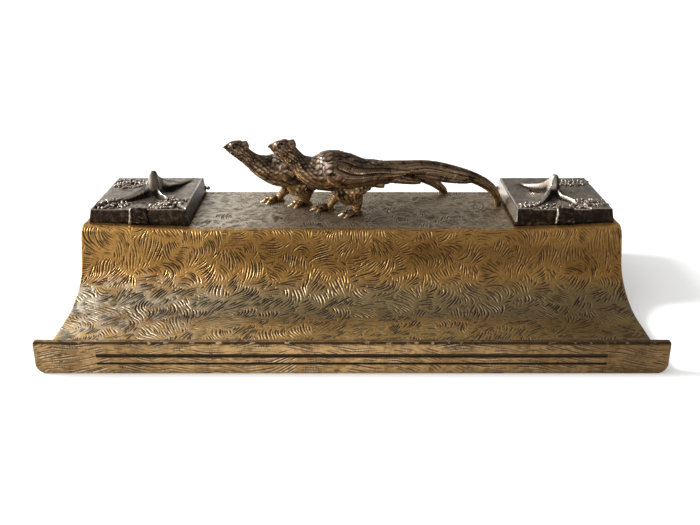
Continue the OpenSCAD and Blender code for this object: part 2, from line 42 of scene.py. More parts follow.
VIEW_PX, FOCAL_PX, SENSOR = 700, 850, 36
CAMERA_AT = (-1.1 * MM, -510.5 * MM, 232.8 * MM)
CAMERA_PITCH = 0.381
# The window's light: where it comes from, its strength, its width in degrees, its colour
SUN_FROM, SUN_STRENGTH, SUN_WIDE, SUN_COLOUR = (-0.8, 0.12, 0.58), 2.9, 16, (1, 0.985, 0.96)


def add_object(name, data):
    thing = bpy.data.objects.new(name, data)
    bpy.context.scene.collection.objects.link(thing)
    return thing


def add_camera():
    lens = bpy.data.cameras.new("camera")
    lens.sensor_width = SENSOR
    lens.lens = FOCAL_PX * SENSOR / VIEW_PX
    lens.clip_start, lens.clip_end = 0.01, 20
    camera = add_object("camera", lens)
    camera.location = CAMERA_AT
    camera.rotation_euler = (math.pi / 2 - CAMERA_PITCH, 0, 0)
    bpy.context.scene.camera = camera


def add_sun():
    lamp = bpy.data.lights.new("window", "SUN")
    lamp.energy, lamp.angle, lamp.color = SUN_STRENGTH, math.radians(SUN_WIDE), SUN_COLOUR
    light = add_object("window", lamp)
    light.rotation_euler = Vector(SUN_FROM).to_track_quat("Z", "Y").to_euler()


add_camera()
add_sun()
bpy.context.scene.view_settings.view_transform = "Standard"


class Wire:
    """A value in a node tree. Sums and products of wires add Math nodes."""

    def __init__(self, nodes, socket):
        self.nodes, self.socket = nodes, socket

    def math(self, operation, other=0.0, swap=False):
        pair = (other, self) if swap else (self, other)
        return self.nodes.node("ShaderNodeMath", {"operation": operation}, dict(enumerate(pair)))

    def __add__(self, other):
        return self.math("ADD", other)

    def __sub__(self, other):
        return self.math("SUBTRACT", other)

    def __rsub__(self, other):
        return self.math("SUBTRACT", other, swap=True)

    def __mul__(self, other):
        return self.math("MULTIPLY", other)

    def __truediv__(self, other):
        return self.math("DIVIDE", other)

    def __pow__(self, other):
        return self.math("POWER", other)

    __radd__, __rmul__ = __add__, __mul__

    def clamp(self):
        return self.math("MAXIMUM", 0.0).math("MINIMUM", 1.0)

    def between(self, low, high):
        """0 where this is low or less, 1 where it is high or more."""
        return ((self - low) / (high - low)).clamp()


class Nodes:
    """A node tree that is being built. node() adds any node with its settings and inputs,
    and gives one output. A list of wires goes into one input in its order."""

    def __init__(self, tree):
        self.tree = tree
        self.tree.nodes.clear()

    def node(self, kind, settings, sockets, out=0):
        node = self.tree.nodes.new(kind)
        for key, value in settings.items():
            if key == "stops":
                ramp = node.color_ramp
                while len(ramp.elements) < len(value):
                    ramp.elements.new(1)
                for element, (at, grey) in zip(ramp.elements, value):
                    element.position, element.color = at, (grey, grey, grey, 1)
            else:
                setattr(node, key, value)
        for key, value in sockets.items():
            if isinstance(value, (Wire, list)):
                for wire in value if isinstance(value, list) else [value]:
                    self.tree.links.new(wire.socket, node.inputs[key])
            elif isinstance(value, tuple) and node.inputs[key].type == "RGBA":
                node.inputs[key].default_value = (*value, 1)
            else:
                node.inputs[key].default_value = value
        return Wire(self, node.outputs[out]) if node.outputs else None


class Finish(Nodes):
    """A procedural material. surface() ends it in the shader."""

    def __init__(self, name):
        self.material = bpy.data.materials.new(name)
        self.material.use_nodes = True
        super().__init__(self.material.node_tree)

    def place(self):
        return self.node("ShaderNodeTexCoord", {}, {}, out="Object")

    def axis(self, which):
        return self.node("ShaderNodeSeparateXYZ", {}, {0: self.place()}, out=which)

    def attribute(self, name):
        return self.node("ShaderNodeAttribute", {"attribute_name": name}, {}, out="Fac")

    def noise(self, scale, detail=3.0, roughness=0.55, distortion=0.0):
        return self.node("ShaderNodeTexNoise", {}, {
            "Vector": self.place(), "Scale": scale, "Detail": detail, "Roughness": roughness,
            "Distortion": distortion})

    def mix(self, share, a, b):
        """Colour a where share is 0, and colour b where it is 1."""
        return self.node("ShaderNodeMix", {"data_type": "RGBA"}, {0: share, 6: a, 7: b}, out=2)

    def bump(self, height, distance, strength):
        return self.node("ShaderNodeBump", {}, {"Height": height, "Distance": distance, "Strength": strength})

    def surface(self, **sockets):
        sockets = {key.replace("_", " "): value for key, value in sockets.items()}
        shader = self.node("ShaderNodeBsdfPrincipled", {}, sockets)
        self.node("ShaderNodeOutputMaterial", {}, {"Surface": shader})
        return self.material


def coat(mesh, material):
    mesh.materials.clear()
    mesh.materials.append(material)


# Base casting
# One hollow bronze casting: deck, front wall that sweeps out into the pen tray, and
# an upright lip. After casting its whole outside was engraved with patches of short
# curved strokes. The engraved faces lie as shells on the plain casting.

# The casting's sizes: leans are degrees from upright, RISE is how far its ends climb
# from RISE_FROM on, BANDS are the two grooves of the lip, WELL_X the wells' inner side
END, BACK, FRONT = 175.0, 95.0, -95.0
DECK, RISE, RISE_FROM = 46.3, 3.0, 106.2
EDGE_R, EDGE_LINE = 6.5, 9.6
WALL_LEAN, SWEEP_BREAK, TRAY_LEAN = 18, 55, 88
SWEEP_Z, SWEEP_R, TRAY_Z = 30.0, 24.0, 6.2
LIP_TOP, LIP_T, LIP_R, TRAY_FILLET = 18.8, 4.8, 1.6, 4.0
CORNER_R, BAND_HALF, BAND_DEEP = 6.0, 141.0, 0.75
BANDS = ((5.83, 6.77), (10.15, 12.03))
WELL_X, WELL_FRONT = 107.0, 17.5
LEAN = math.radians(WALL_LEAN)
# How far the skins' foot stays off the desk, half the height over which a groove's wall
# slopes, and the spacing of the skins' rows on back, deck, wall, tray, fillet and rounds
FOOT, GROOVE_WALL = 0.25, 0.12
BACK_STEP, DECK_STEP, WALL_STEP, TRAY_STEP, FILLET_STEP, ROUND_STEP = 0.8, 0.52, 0.45, 0.47, 0.4, 0.36


def out(lean):
    """Direction out of the front where it leans this many degrees from upright, as (y, z)."""
    return np.stack([-np.cos(np.radians(lean)), np.sin(np.radians(lean))], -1)


def arc(centre, radius, start, stop, step):
    """Points on an arc between two leans. A negative radius gives a hollow arc."""
    count = max(3, round(abs(radius * math.radians(stop - start)) / step))
    return np.asarray(centre) + radius * out(np.linspace(start, stop, count + 1))


def line(start, stop, step):
    start, stop = np.asarray(start, float), np.asarray(stop, float)
    count = max(1, round(np.linalg.norm(stop - start) / step))
    return start + (stop - start) * np.linspace(0, 1, count + 1)[:, None]


def wall_y(z):
    """Where the front wall stands at a height."""
    return EDGE_LINE - (DECK + RISE - z) * math.tan(LEAN)


# Where the deck's flat ends and its front edge begins to round
EDGE_FROM = wall_y(DECK) + EDGE_R * math.tan((math.pi / 2 - LEAN) / 2)


def base_outline():
    """The base in side view from the foot of the back wall to the foot of the lip, run by run."""
    tray_sin, break_sin = (math.sin(math.radians(lean)) for lean in (TRAY_LEAN, SWEEP_BREAK))
    wall_foot = np.array([wall_y(SWEEP_Z), SWEEP_Z])
    upper = wall_foot + SWEEP_R * out(WALL_LEAN)
    bend = upper - SWEEP_R * out(SWEEP_BREAK)
    low_r = (bend[1] - TRAY_Z) / (tray_sin - break_sin)
    low = bend + low_r * out(SWEEP_BREAK)
    tray_end = low - low_r * out(TRAY_LEAN)
    fall = 1 / math.tan(math.radians(TRAY_LEAN))
    inner, lip_round = FRONT + LIP_T, LIP_TOP - LIP_R
    fillet_y = inner + TRAY_FILLET
    foot_y = fillet_y + TRAY_FILLET * math.cos(math.radians(TRAY_LEAN))
    fillet = (fillet_y, tray_end[1] - (tray_end[0] - foot_y) * fall + TRAY_FILLET * tray_sin)
    deck_front = arc((EDGE_FROM, DECK - EDGE_R), EDGE_R, 90, WALL_LEAN, WALL_STEP)
    tray_foot = arc(fillet, -TRAY_FILLET, TRAY_LEAN, 180, FILLET_STEP)
    heights = [lip_round]
    for low_z, high_z in reversed(BANDS):
        heights += [z + side for z in (high_z, low_z) for side in (GROOVE_WALL, -GROOVE_WALL)]
    heights.append(FOOT)
    face = [line((FRONT, a), (FRONT, b), WALL_STEP)[:-1] for a, b in zip(heights, heights[1:])]
    return {
        "back": line((BACK, FOOT), (BACK, DECK), BACK_STEP)[:-1],
        "deck": line((BACK, DECK), (WELL_FRONT, DECK), DECK_STEP)[:-1],
        "edge": np.vstack([line((WELL_FRONT, DECK), deck_front[0], WALL_STEP)[:-1], deck_front[:-1],
                           line(deck_front[-1], wall_foot, WALL_STEP)[:-1],
                           arc(upper, -SWEEP_R, WALL_LEAN, SWEEP_BREAK, WALL_STEP)[:-1]]),
        "sweep": arc(low, -low_r, SWEEP_BREAK, TRAY_LEAN, TRAY_STEP)[:-1],
        "tray": line(tray_end, tray_foot[0], TRAY_STEP)[:-1],
        "lip": np.vstack([tray_foot[:-1], line(tray_foot[-1], (inner, lip_round), WALL_STEP)[:-1],
                          arc((inner - LIP_R, lip_round), LIP_R, 180, 90, ROUND_STEP)[:-1],
                          arc((FRONT + LIP_R, lip_round), LIP_R, 90, 0, ROUND_STEP)[:-1],
                          *face, [[FRONT, FOOT]]]),
    }


# How the engraving changes along the outline, at the middle of each run: how far the
# strokes turn from straight down the face, how much that varies, their spacing, longest
# stroke and half width, and how deep they are
ENGRAVED = {"back": (8, 70, 1.6, 30, 0.36, 0.42), "deck": (80, 60, 1.5, 30, 0.4, 0.55),
            "edge": (4, 78, 1.45, 34, 0.37, 0.55), "sweep": (-26, 66, 1.8, 38, 0.5, 0.66),
            "tray": (-48, 50, 1.65, 30, 0.45, 0.75), "lip": (87, 16, 1.2, 44, 0.32, 0.26)}
# Long strokes first, then short ones in what room is left: shortest, and share of the depth
PASSES = ((12, 1.0), (6, 0.85), (3, 0.6))
# Where the depth stands in a row of ENGRAVED, and how many places each pass tries
DEPTH, TRIES = 5, 60000
# Size of a raster cell and of a patch of strokes, and the least cosine of the turn that
# a stroke may take between two of its places
CELL, PATCH, STRAIGHTEST = 0.25, 14.0, 0.9
# The slow turns of the strokes' way, reach and strength, and their share of it
DRIFTS, DRIFT_SHARE = ((26, 0.8), (11, 0.45)), 0.55
# A patch's own turn, how it swirls for each millimetre, least and most, and how far its
# border strays, on a raster this many cells coarse
OWN_SHARE, SWIRL, STRAY, COARSE = 0.62, (0.02, 0.075), 2.2, 4
# How far the burr beside each stroke lies from it along the base and down it, in cells,
# and its height as a share of the stroke's depth
BURR, BURR_HIGH = (2, 1), 0.6
# The skins: how high they lie on the casting, how deep they reach into it, the round of
# their ends, where that begins, and the spacing of their columns
FACE, SUNK, SIDE_R, SHELL_END, STEP_X = 0.08, 1.0, 0.55, END - 0.4, 0.37
# The skins follow the round foot of the casting's ends over this length
PULL_IN = 15
# The engraving gets shallower towards the right: from where, to where, and to how much
FADE_X, FADE = (-30, 130), (1, 0.65)
# The two ends: their engraving, as in ENGRAVED, and the spacing of their columns
END_STYLE, END_STEP = (-12, 70, 1.55, 30, 0.36, 0.4), 0.42
# The sharp line between deck and wall is highest along this lean
EDGE_TURN = math.radians(12)


def spans(outline):
    """Distance along the outline of every row, and the middle of each run."""
    rows = np.vstack(list(outline.values()))
    run = np.concatenate([[0], np.cumsum(np.linalg.norm(np.diff(rows, axis=0), axis=1))])
    ends = np.cumsum([len(r) for r in outline.values()])
    middles = [run[(a + b - 1) // 2] for a, b in zip([0, *ends], ends)]
    return rows, run, ends, middles


def soft_noise(shape, reach, rng):
    """Smooth random field with about unit spread, its swells some reach cells across."""
    knots = rng.normal(size=(shape[0] // reach + 4, shape[1] // reach + 4))
    i, j = np.arange(shape[0]) / reach, np.arange(shape[1]) / reach
    i0, j0 = i.astype(int), j.astype(int)
    u, v = i - i0, j - j0
    u, v = (u * u * (3 - 2 * u))[:, None], (v * v * (3 - 2 * v))[None, :]
    a, b = knots[np.ix_(i0, j0)], knots[np.ix_(i0, j0 + 1)]
    c, d = knots[np.ix_(i0 + 1, j0)], knots[np.ix_(i0 + 1, j0 + 1)]
    return (a * (1 - v) + b * v) * (1 - u) + (c * (1 - v) + d * v) * u


def stroke_field(shape, ways, rng):
    """Which way the strokes run at each place, in radians from straight down the face: the
    patches of the graver each have their own turn, and swirl a little inside."""
    turn, spread = ways[:, :1], ways[:, 1:2]
    drift = sum(soft_noise(shape, int(reach / CELL), rng) * strong for reach, strong in DRIFTS)
    grid = [(y, x) for y in np.arange(0, shape[0] * CELL, PATCH * 0.85)
            for x in np.arange(0, 2 * END, PATCH)]
    seeds = np.array(grid) + rng.uniform(-0.45, 0.45, (len(grid), 2)) * PATCH
    own = rng.normal(size=len(seeds))
    bend = rng.choice((-1, 1), len(seeds)) * rng.uniform(*SWIRL, len(seeds))
    ii, jj = np.meshgrid(*(np.arange(0, size, COARSE) * CELL for size in shape), indexing="ij")
    ii = ii + STRAY * soft_noise(ii.shape, 7, rng)
    jj = jj + STRAY * soft_noise(ii.shape, 7, rng)
    nearest, best = np.zeros(ii.shape, int), np.full(ii.shape, 1e9)
    for n, (a, b) in enumerate(seeds):
        far = (ii - a) ** 2 + ((jj - b) * 0.9) ** 2
        nearest, best = np.where(far < best, n, nearest), np.minimum(far, best)
    down, aside = ii - seeds[nearest, 0], jj - seeds[nearest, 1]
    patch = OWN_SHARE * own[nearest] + bend[nearest] * (down + 0.5 * aside)
    patch = np.repeat(np.repeat(patch, COARSE, 0), COARSE, 1)[:shape[0], :shape[1]]
    return np.radians(turn + spread * (DRIFT_SHARE * drift + patch))


def engrave(ways, uncut, rng):
    """Groove depth from 0 to 1 on a fine raster over a face, stroke by stroke, and the
    height of the burrs. ways gives the engraving of each raster row, and uncut the bare
    rows. Each stroke follows the field and stops short of the earlier ones. It is at its
    depth after a fifth of its length, and runs out slowly."""
    shape = (len(ways), int(2 * END / CELL) + 1)
    way = stroke_field(shape, ways, rng)
    cut, taken = np.zeros(shape, np.float32), np.zeros(shape, bool)
    taken[uncut] = True
    sizes = ways[:, 2:5]
    down, aside = np.cos(way), np.sin(way)
    for shortest, strength in PASSES:
        starts = np.stack([rng.integers(0, size, TRIES) for size in shape], 1)
        for i, j in starts[~taken[starts[:, 0], starts[:, 1]]].tolist():
            if taken[i, j]:
                continue
            gap, longest, half = sizes[i]
            path = follow(i, j, longest * rng.uniform(0.5, 1), down, aside, taken)
            if len(path) < shortest:
                continue
            clear = int(gap * rng.uniform(0.56, 0.78) / CELL)
            deep = strength * rng.uniform(0.5, 1)
            for n, (a, b) in enumerate(path):
                t = n / (len(path) - 1)
                taper = min(1, 5 * t, 2.2 * (1 - t) + 0.08)
                block(taken, int(a), int(b), clear)
                gouge(cut, a, b, half * (0.5 + 0.5 * taper) / CELL, deep * taper)
    burr = np.roll(cut, BURR, (1, 0))
    return cut, np.clip(0.9 * blur(burr, 1) + 0.9 * blur(cut, 3) - 1.4 * cut, 0, 1)


def follow(i, j, longest, down, aside, taken):
    """Places of one stroke, both ways from its start, until the field bends too sharply."""
    path, step = [(i, j)], 0.5 / CELL
    for sense in (1, -1):
        a, b, n = float(i), float(j), 0
        while n < longest:
            dy, dx = down[int(a), int(b)], aside[int(a), int(b)]
            a, b, n = a + sense * step * dy, b + sense * step * dx, n + 1
            if not (0 <= a < down.shape[0] - 1 and 0 <= b < down.shape[1] - 1) or taken[int(a), int(b)]:
                break
            if dy * down[int(a), int(b)] + dx * aside[int(a), int(b)] < STRAIGHTEST:
                break
            path.insert(len(path) if sense == 1 else 0, (a, b))
    return path


# Which cells of a square lie within so many cells of its middle
DISC = {r: np.hypot(*np.mgrid[-r:r + 1, -r:r + 1]) <= r + 0.3 for r in range(1, 16)}


def block(taken, i, j, clear):
    """Keeps later strokes this many cells away from a place."""
    rows, cols = taken.shape
    disc = DISC[clear][max(0, clear - i):clear + min(clear + 1, rows - i),
                       max(0, clear - j):clear + min(clear + 1, cols - j)]
    taken[max(0, i - clear):i + clear + 1, max(0, j - clear):j + clear + 1] |= disc


def gouge(cut, a, b, half, deep):
    """A round touch of the graver, centred on a place of the raster."""
    reach = 6
    i0, j0 = int(a) - reach, int(b) - reach
    i1, j1 = i0 + 2 * reach + 1, j0 + 2 * reach + 1
    i0, j0 = max(0, i0), max(0, j0)
    window = cut[i0:i1, j0:j1]
    i, j = np.arange(i0, i0 + window.shape[0]), np.arange(j0, j0 + window.shape[1])
    across = ((i - a) ** 2)[:, None] + (j - b) ** 2
    np.maximum(window, deep * np.exp(-across / (half * half)), out=window)


def blur(field, reach):
    """Mean over a square of 2 * reach + 1 cells."""
    wide = 2 * reach + 1
    for axis in (0, 1):
        padded = np.pad(field, [(reach + 1, reach) if a == axis else (0, 0) for a in (0, 1)], mode="edge")
        total = np.cumsum(padded, axis=axis)
        n = field.shape[axis]
        field = (np.take(total, range(wide, n + wide), axis) - np.take(total, range(n), axis)) / wide
    return field


def sample(field, x, s):
    """Value of a raster at places along the base and along its outline."""
    i = np.clip(s / CELL, 0, field.shape[0] - 1.001)
    j = np.clip((x + END) / CELL, 0, field.shape[1] - 1.001)
    i0, j0 = i.astype(int), j.astype(int)
    u, v = i - i0, j - j0
    return ((field[i0, j0] * (1 - v) + field[i0, j0 + 1] * v) * (1 - u)
            + (field[i0 + 1, j0] * (1 - v) + field[i0 + 1, j0 + 1] * v) * u)


def outward(points):
    """Unit normals of a grid of points."""
    normal = np.cross(np.gradient(points, axis=0), np.gradient(points, axis=1))
    return normal / np.maximum(np.linalg.norm(normal, axis=2, keepdims=True), 1e-9)


def columns():
    """Places along the base, and how far each sinks where the shell turns round its ends."""
    half = np.concatenate([np.arange(STEP_X / 2, RISE_FROM - 0.2, STEP_X),
                           [RISE_FROM, (RISE_FROM + WELL_X) / 2, WELL_X],
                           np.arange(WELL_X + STEP_X, END - 0.6, STEP_X), [SHELL_END]])
    turn = np.radians([30, 60, 90])
    x = np.concatenate([half, SHELL_END + SIDE_R * np.sin(turn)])
    sink = np.concatenate([0 * half, SIDE_R * (1 - np.cos(turn))])
    return np.concatenate([-x[::-1], x]), np.concatenate([sink[::-1], sink])


def half_length(z):
    """How far out the casting's ends stand at a height, drawn in round at their foot."""
    low = np.clip(z, 0, CORNER_R)
    return END - CORNER_R + np.sqrt(CORNER_R ** 2 - (CORNER_R - low) ** 2)


def lay_over(rows, lean, x, offset):
    """Points over the casting: each outline row, raised at the ends, and offset outwards."""
    climb = RISE * np.clip((np.abs(x) - RISE_FROM) / (END - RISE_FROM), 0, 1.1)
    y, z = rows[:, :1], rows[:, 1:]
    edge_top = DECK - EDGE_R * (1 - math.sin(LEAN))
    on_wall = np.clip((z - SWEEP_Z) / (edge_top - SWEEP_Z), 0, 1)
    up = np.where(y < BACK - 1, on_wall, np.clip(z / DECK, 0, 1))
    back = np.where(y > EDGE_FROM, np.clip((WELL_FRONT - y) / (WELL_FRONT - EDGE_FROM), 0, 1), up)
    y = y + back * math.tan(LEAN) * climb + lean[:, :1] * offset
    z = z + up * climb + lean[:, 1:] * offset
    bend_from = END - PULL_IN
    past = np.clip(np.abs(x) - bend_from, 0, None) * (half_length(z) - bend_from) / PULL_IN
    return np.stack([np.sign(x) * (np.minimum(np.abs(x), bend_from) + past), y, z], -1)


def new_mesh(name, points, faces, unit=MM):
    mesh = bpy.data.meshes.new(name)
    mesh.from_pydata((np.asarray(points) * unit).reshape(-1, 3).tolist(), [], faces)
    return mesh


def grid_faces(at):
    """The four-sided faces of a grid of vertex numbers."""
    return np.stack([at[:-1, :-1], at[:-1, 1:], at[1:, 1:], at[1:, :-1]], -1).reshape(-1, 4).tolist()


def shell_mesh(name, top, under, breaks, flip=False):
    """A closed shell: the fine top grid, a plain underside whose vertices stand at breaks
    only, and walls round the rim. flip is for a grid that runs the other way round."""
    n_rows, n_cols = top.shape[:2]
    keep = np.full((n_rows, n_cols), False)
    keep[[0, -1], :] = True
    keep[:, breaks] = True
    index = np.full((n_rows, n_cols), -1)
    index[keep] = n_rows * n_cols + np.arange(keep.sum())
    upper = np.arange(n_rows * n_cols).reshape(n_rows, n_cols)
    faces = grid_faces(upper)

    def stretch(row, a, b):
        """The underside's vertices in a row, from one break to another."""
        ids = index[row, a:b + 1]
        return [int(v) for v in ids[ids >= 0]]

    def wall(row, col, next_row, next_col):
        """A face of the rim, from one place of the grid to the next."""
        faces.append([int(upper[row, col]), int(upper[next_row, next_col]),
                      int(index[next_row, next_col]), int(index[row, col])])

    for row in range(n_rows - 1):
        for a, b in zip(breaks, breaks[1:]):
            faces.append(stretch(row, a, b)[::-1] + stretch(row + 1, a, b))
        wall(row, 0, row + 1, 0)
        wall(row + 1, n_cols - 1, row, n_cols - 1)
    for col in range(n_cols - 1):
        wall(0, col + 1, 0, col)
        wall(n_rows - 1, col, n_rows - 1, col + 1)
    if not flip:
        faces = [face[::-1] for face in faces]
    return new_mesh(name, np.vstack([top.reshape(-1, 3), under[keep]]), faces)


def add_values(mesh, **fields):
    """Stores a value at each vertex, 0 on the vertices past the field's end."""
    for name, field in fields.items():
        values = np.zeros(len(mesh.vertices), np.float32)
        values[:field.size] = field.ravel()
        mesh.attributes.new(name, "FLOAT", "POINT").data.foreach_set("value", values)


def add_piece(mesh, material, body, replaced=()):
    piece = add_object(mesh.name, mesh)
    coat(mesh, material)
    mesh.shade_smooth()
    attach(piece, body)
    if replaced:
        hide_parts(*replaced)


def dirt(cut):
    """Old dirt, which lies wherever the strokes stand close."""
    return np.clip(1.9 * blur(cut, 4) - 0.25, 0, 1)


def face_piece(name, bronze, top, under, breaks, groove, raised, grime, normal, flip=False):
    """One engraved skin, shaded by the normals of the whole engraving, so that no seam
    shows between two skins."""
    mesh = shell_mesh(name, top, under, breaks, flip)
    add_values(mesh, groove=groove, raised=raised, grime=grime)
    add_piece(mesh, bronze, "base")
    own = np.zeros((len(mesh.vertices), 3))
    own[:normal.size // 3] = normal.reshape(-1, 3)
    mesh.normals_split_custom_set_from_vertices(own.tolist())


def build_base(bronze):
    rng = np.random.default_rng(11)
    outline = base_outline()
    rows, run, ends, middles = spans(outline)
    lean = np.gradient(rows, axis=0)
    lean = np.stack([lean[:, 1], -lean[:, 0]], -1)
    lean /= np.linalg.norm(lean, axis=1, keepdims=True)
    down = np.arange(int(run[-1] / CELL) + 1) * CELL
    styles = np.array(list(ENGRAVED.values()))
    ways = np.stack([np.interp(down, middles, styles[:, k]) for k in range(styles.shape[1])], 1)
    near_edge = (rows[:, 0] < WELL_FRONT) * (rows[:, 0] > 0)
    crest = run[np.argmax(rows @ (-math.sin(EDGE_TURN), math.cos(EDGE_TURN)) * near_edge)]
    cut, burr = engrave(ways, np.abs(down - crest) < 0.4, rng)
    x, sink = columns()
    xs, ss = np.broadcast_arrays(x[None, :], run[:, None])
    groove, raised, grime = (sample(field, xs, ss) for field in (cut, burr, dirt(cut)))
    deep = np.interp(run, middles, styles[:, DEPTH])[:, None] * np.interp(x, FADE_X, FADE)
    z = rows[:, 1:]
    on_lip = (rows[:, :1] < FRONT + 0.01) & (np.abs(xs) < BAND_HALF)
    band = on_lip & np.any([(z > low_z) & (z < high_z) for low_z, high_z in BANDS], 0)
    chance = soft_noise(xs.shape, 6, rng)
    # A broken painted highlight along the sharp line between deck and wall, drawn bright through the raised
    # values
    edge_line = np.clip(1 - np.abs(ss - crest) / 0.6, 0, 1) * np.clip(0.3 + 0.5 * chance, 0, 1)
    height = FACE + deep * (1 - groove + BURR_HIGH * raised) - BAND_DEEP * band - sink
    top = lay_over(rows, lean, xs, height)
    normal = outward(top)
    sunk = np.full_like(height, -SUNK) - 0.5 * on_lip
    under = lay_over(rows, lean, np.clip(xs, -SHELL_END, SHELL_END), sunk)
    lip_line = run[np.argmin(np.hypot(rows[:, 0] - FRONT - 0.5, rows[:, 1] - LIP_TOP + 0.5))]
    worn_edge = np.clip(1.3 - np.abs(ss - lip_line) / 0.6, 0, 1)
    smudge = blur(band.astype(float), 1) * np.clip(0.35 + 0.8 * chance, 0, 1)
    # The grooves of the lip are dark, and so is its top edge, but for a few bright spots
    groove = np.maximum.reduce([groove, band * np.clip(0.9 + 0.2 * chance, 0.75, 1), smudge,
                                worn_edge * (chance < 0.8) * 0.85])
    raised = np.maximum.reduce([raised, edge_line, worn_edge * (chance > 1.0)])
    for name, first, last in zip(outline, [0, *ends[:-1]], ends):
        picked = slice(first, min(last, len(rows) - 1) + 1)
        cols = slice(None)
        if name == "deck":
            inside = np.flatnonzero(np.abs(x) <= WELL_X + 0.01)
            cols = slice(inside[0], inside[-1] + 1)
        left, right = (int(np.argmin(np.abs(x[cols] - side))) for side in (-RISE_FROM, RISE_FROM))
        breaks = [0, left, right, len(x[cols]) - 1]
        face_piece("base_" + name, bronze, *(field[picked, cols] for field in (top, under)), breaks,
                   *(field[picked, cols] for field in (groove, raised, grime, normal)))
    build_ends(bronze, lay_over(rows, 0 * lean, np.full((1, 1), END), 0 * z)[:, 0])
    coat(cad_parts["base_casting"].data, bronze)


def build_ends(bronze, rim):
    """The two upright ends, engraved like the front. rim is the casting's outline there."""
    rng = np.random.default_rng(23)
    y = np.arange(FRONT + 0.3, BACK - 0.2, END_STEP)
    over = rim[np.searchsorted(-rim[:, 1], 0.01 - BACK):np.argmin(rim[:, 1]) + 1]
    tall = np.interp(y, over[::-1, 1], over[::-1, 2]) - 0.15
    z = 0.3 + (tall - 0.3) * np.linspace(0, 1, 96)[:, None]
    y = np.broadcast_to(y, z.shape)
    casting = half_length(z)
    inner = np.clip(np.minimum(tall - z, np.minimum(y - y[0, 0], y[0, -1] - y)) / 0.8, 0, 1)
    ways = np.tile(END_STYLE, (int(max(tall) / CELL) + 3, 1))
    for word, side in (("left", -1), ("right", 1)):
        cut, burr = engrave(ways, np.zeros(len(ways), bool), rng)
        groove, raised = sample(cut, y, z) * inner, sample(burr, y, z) * inner
        height = 0.1 + END_STYLE[DEPTH] * (1 - groove + BURR_HIGH * raised) * inner
        top = np.stack([side * (casting + height), y, z], -1)
        under = np.stack([side * (casting - SUNK), y, z], -1)
        breaks = [*range(0, y.shape[1] - 1, 12), y.shape[1] - 1]
        face_piece(f"base_{word}_end", bronze, top, under, breaks, groove, raised,
                   sample(dirt(cut), y, z), -side * outward(top), flip=side > 0)


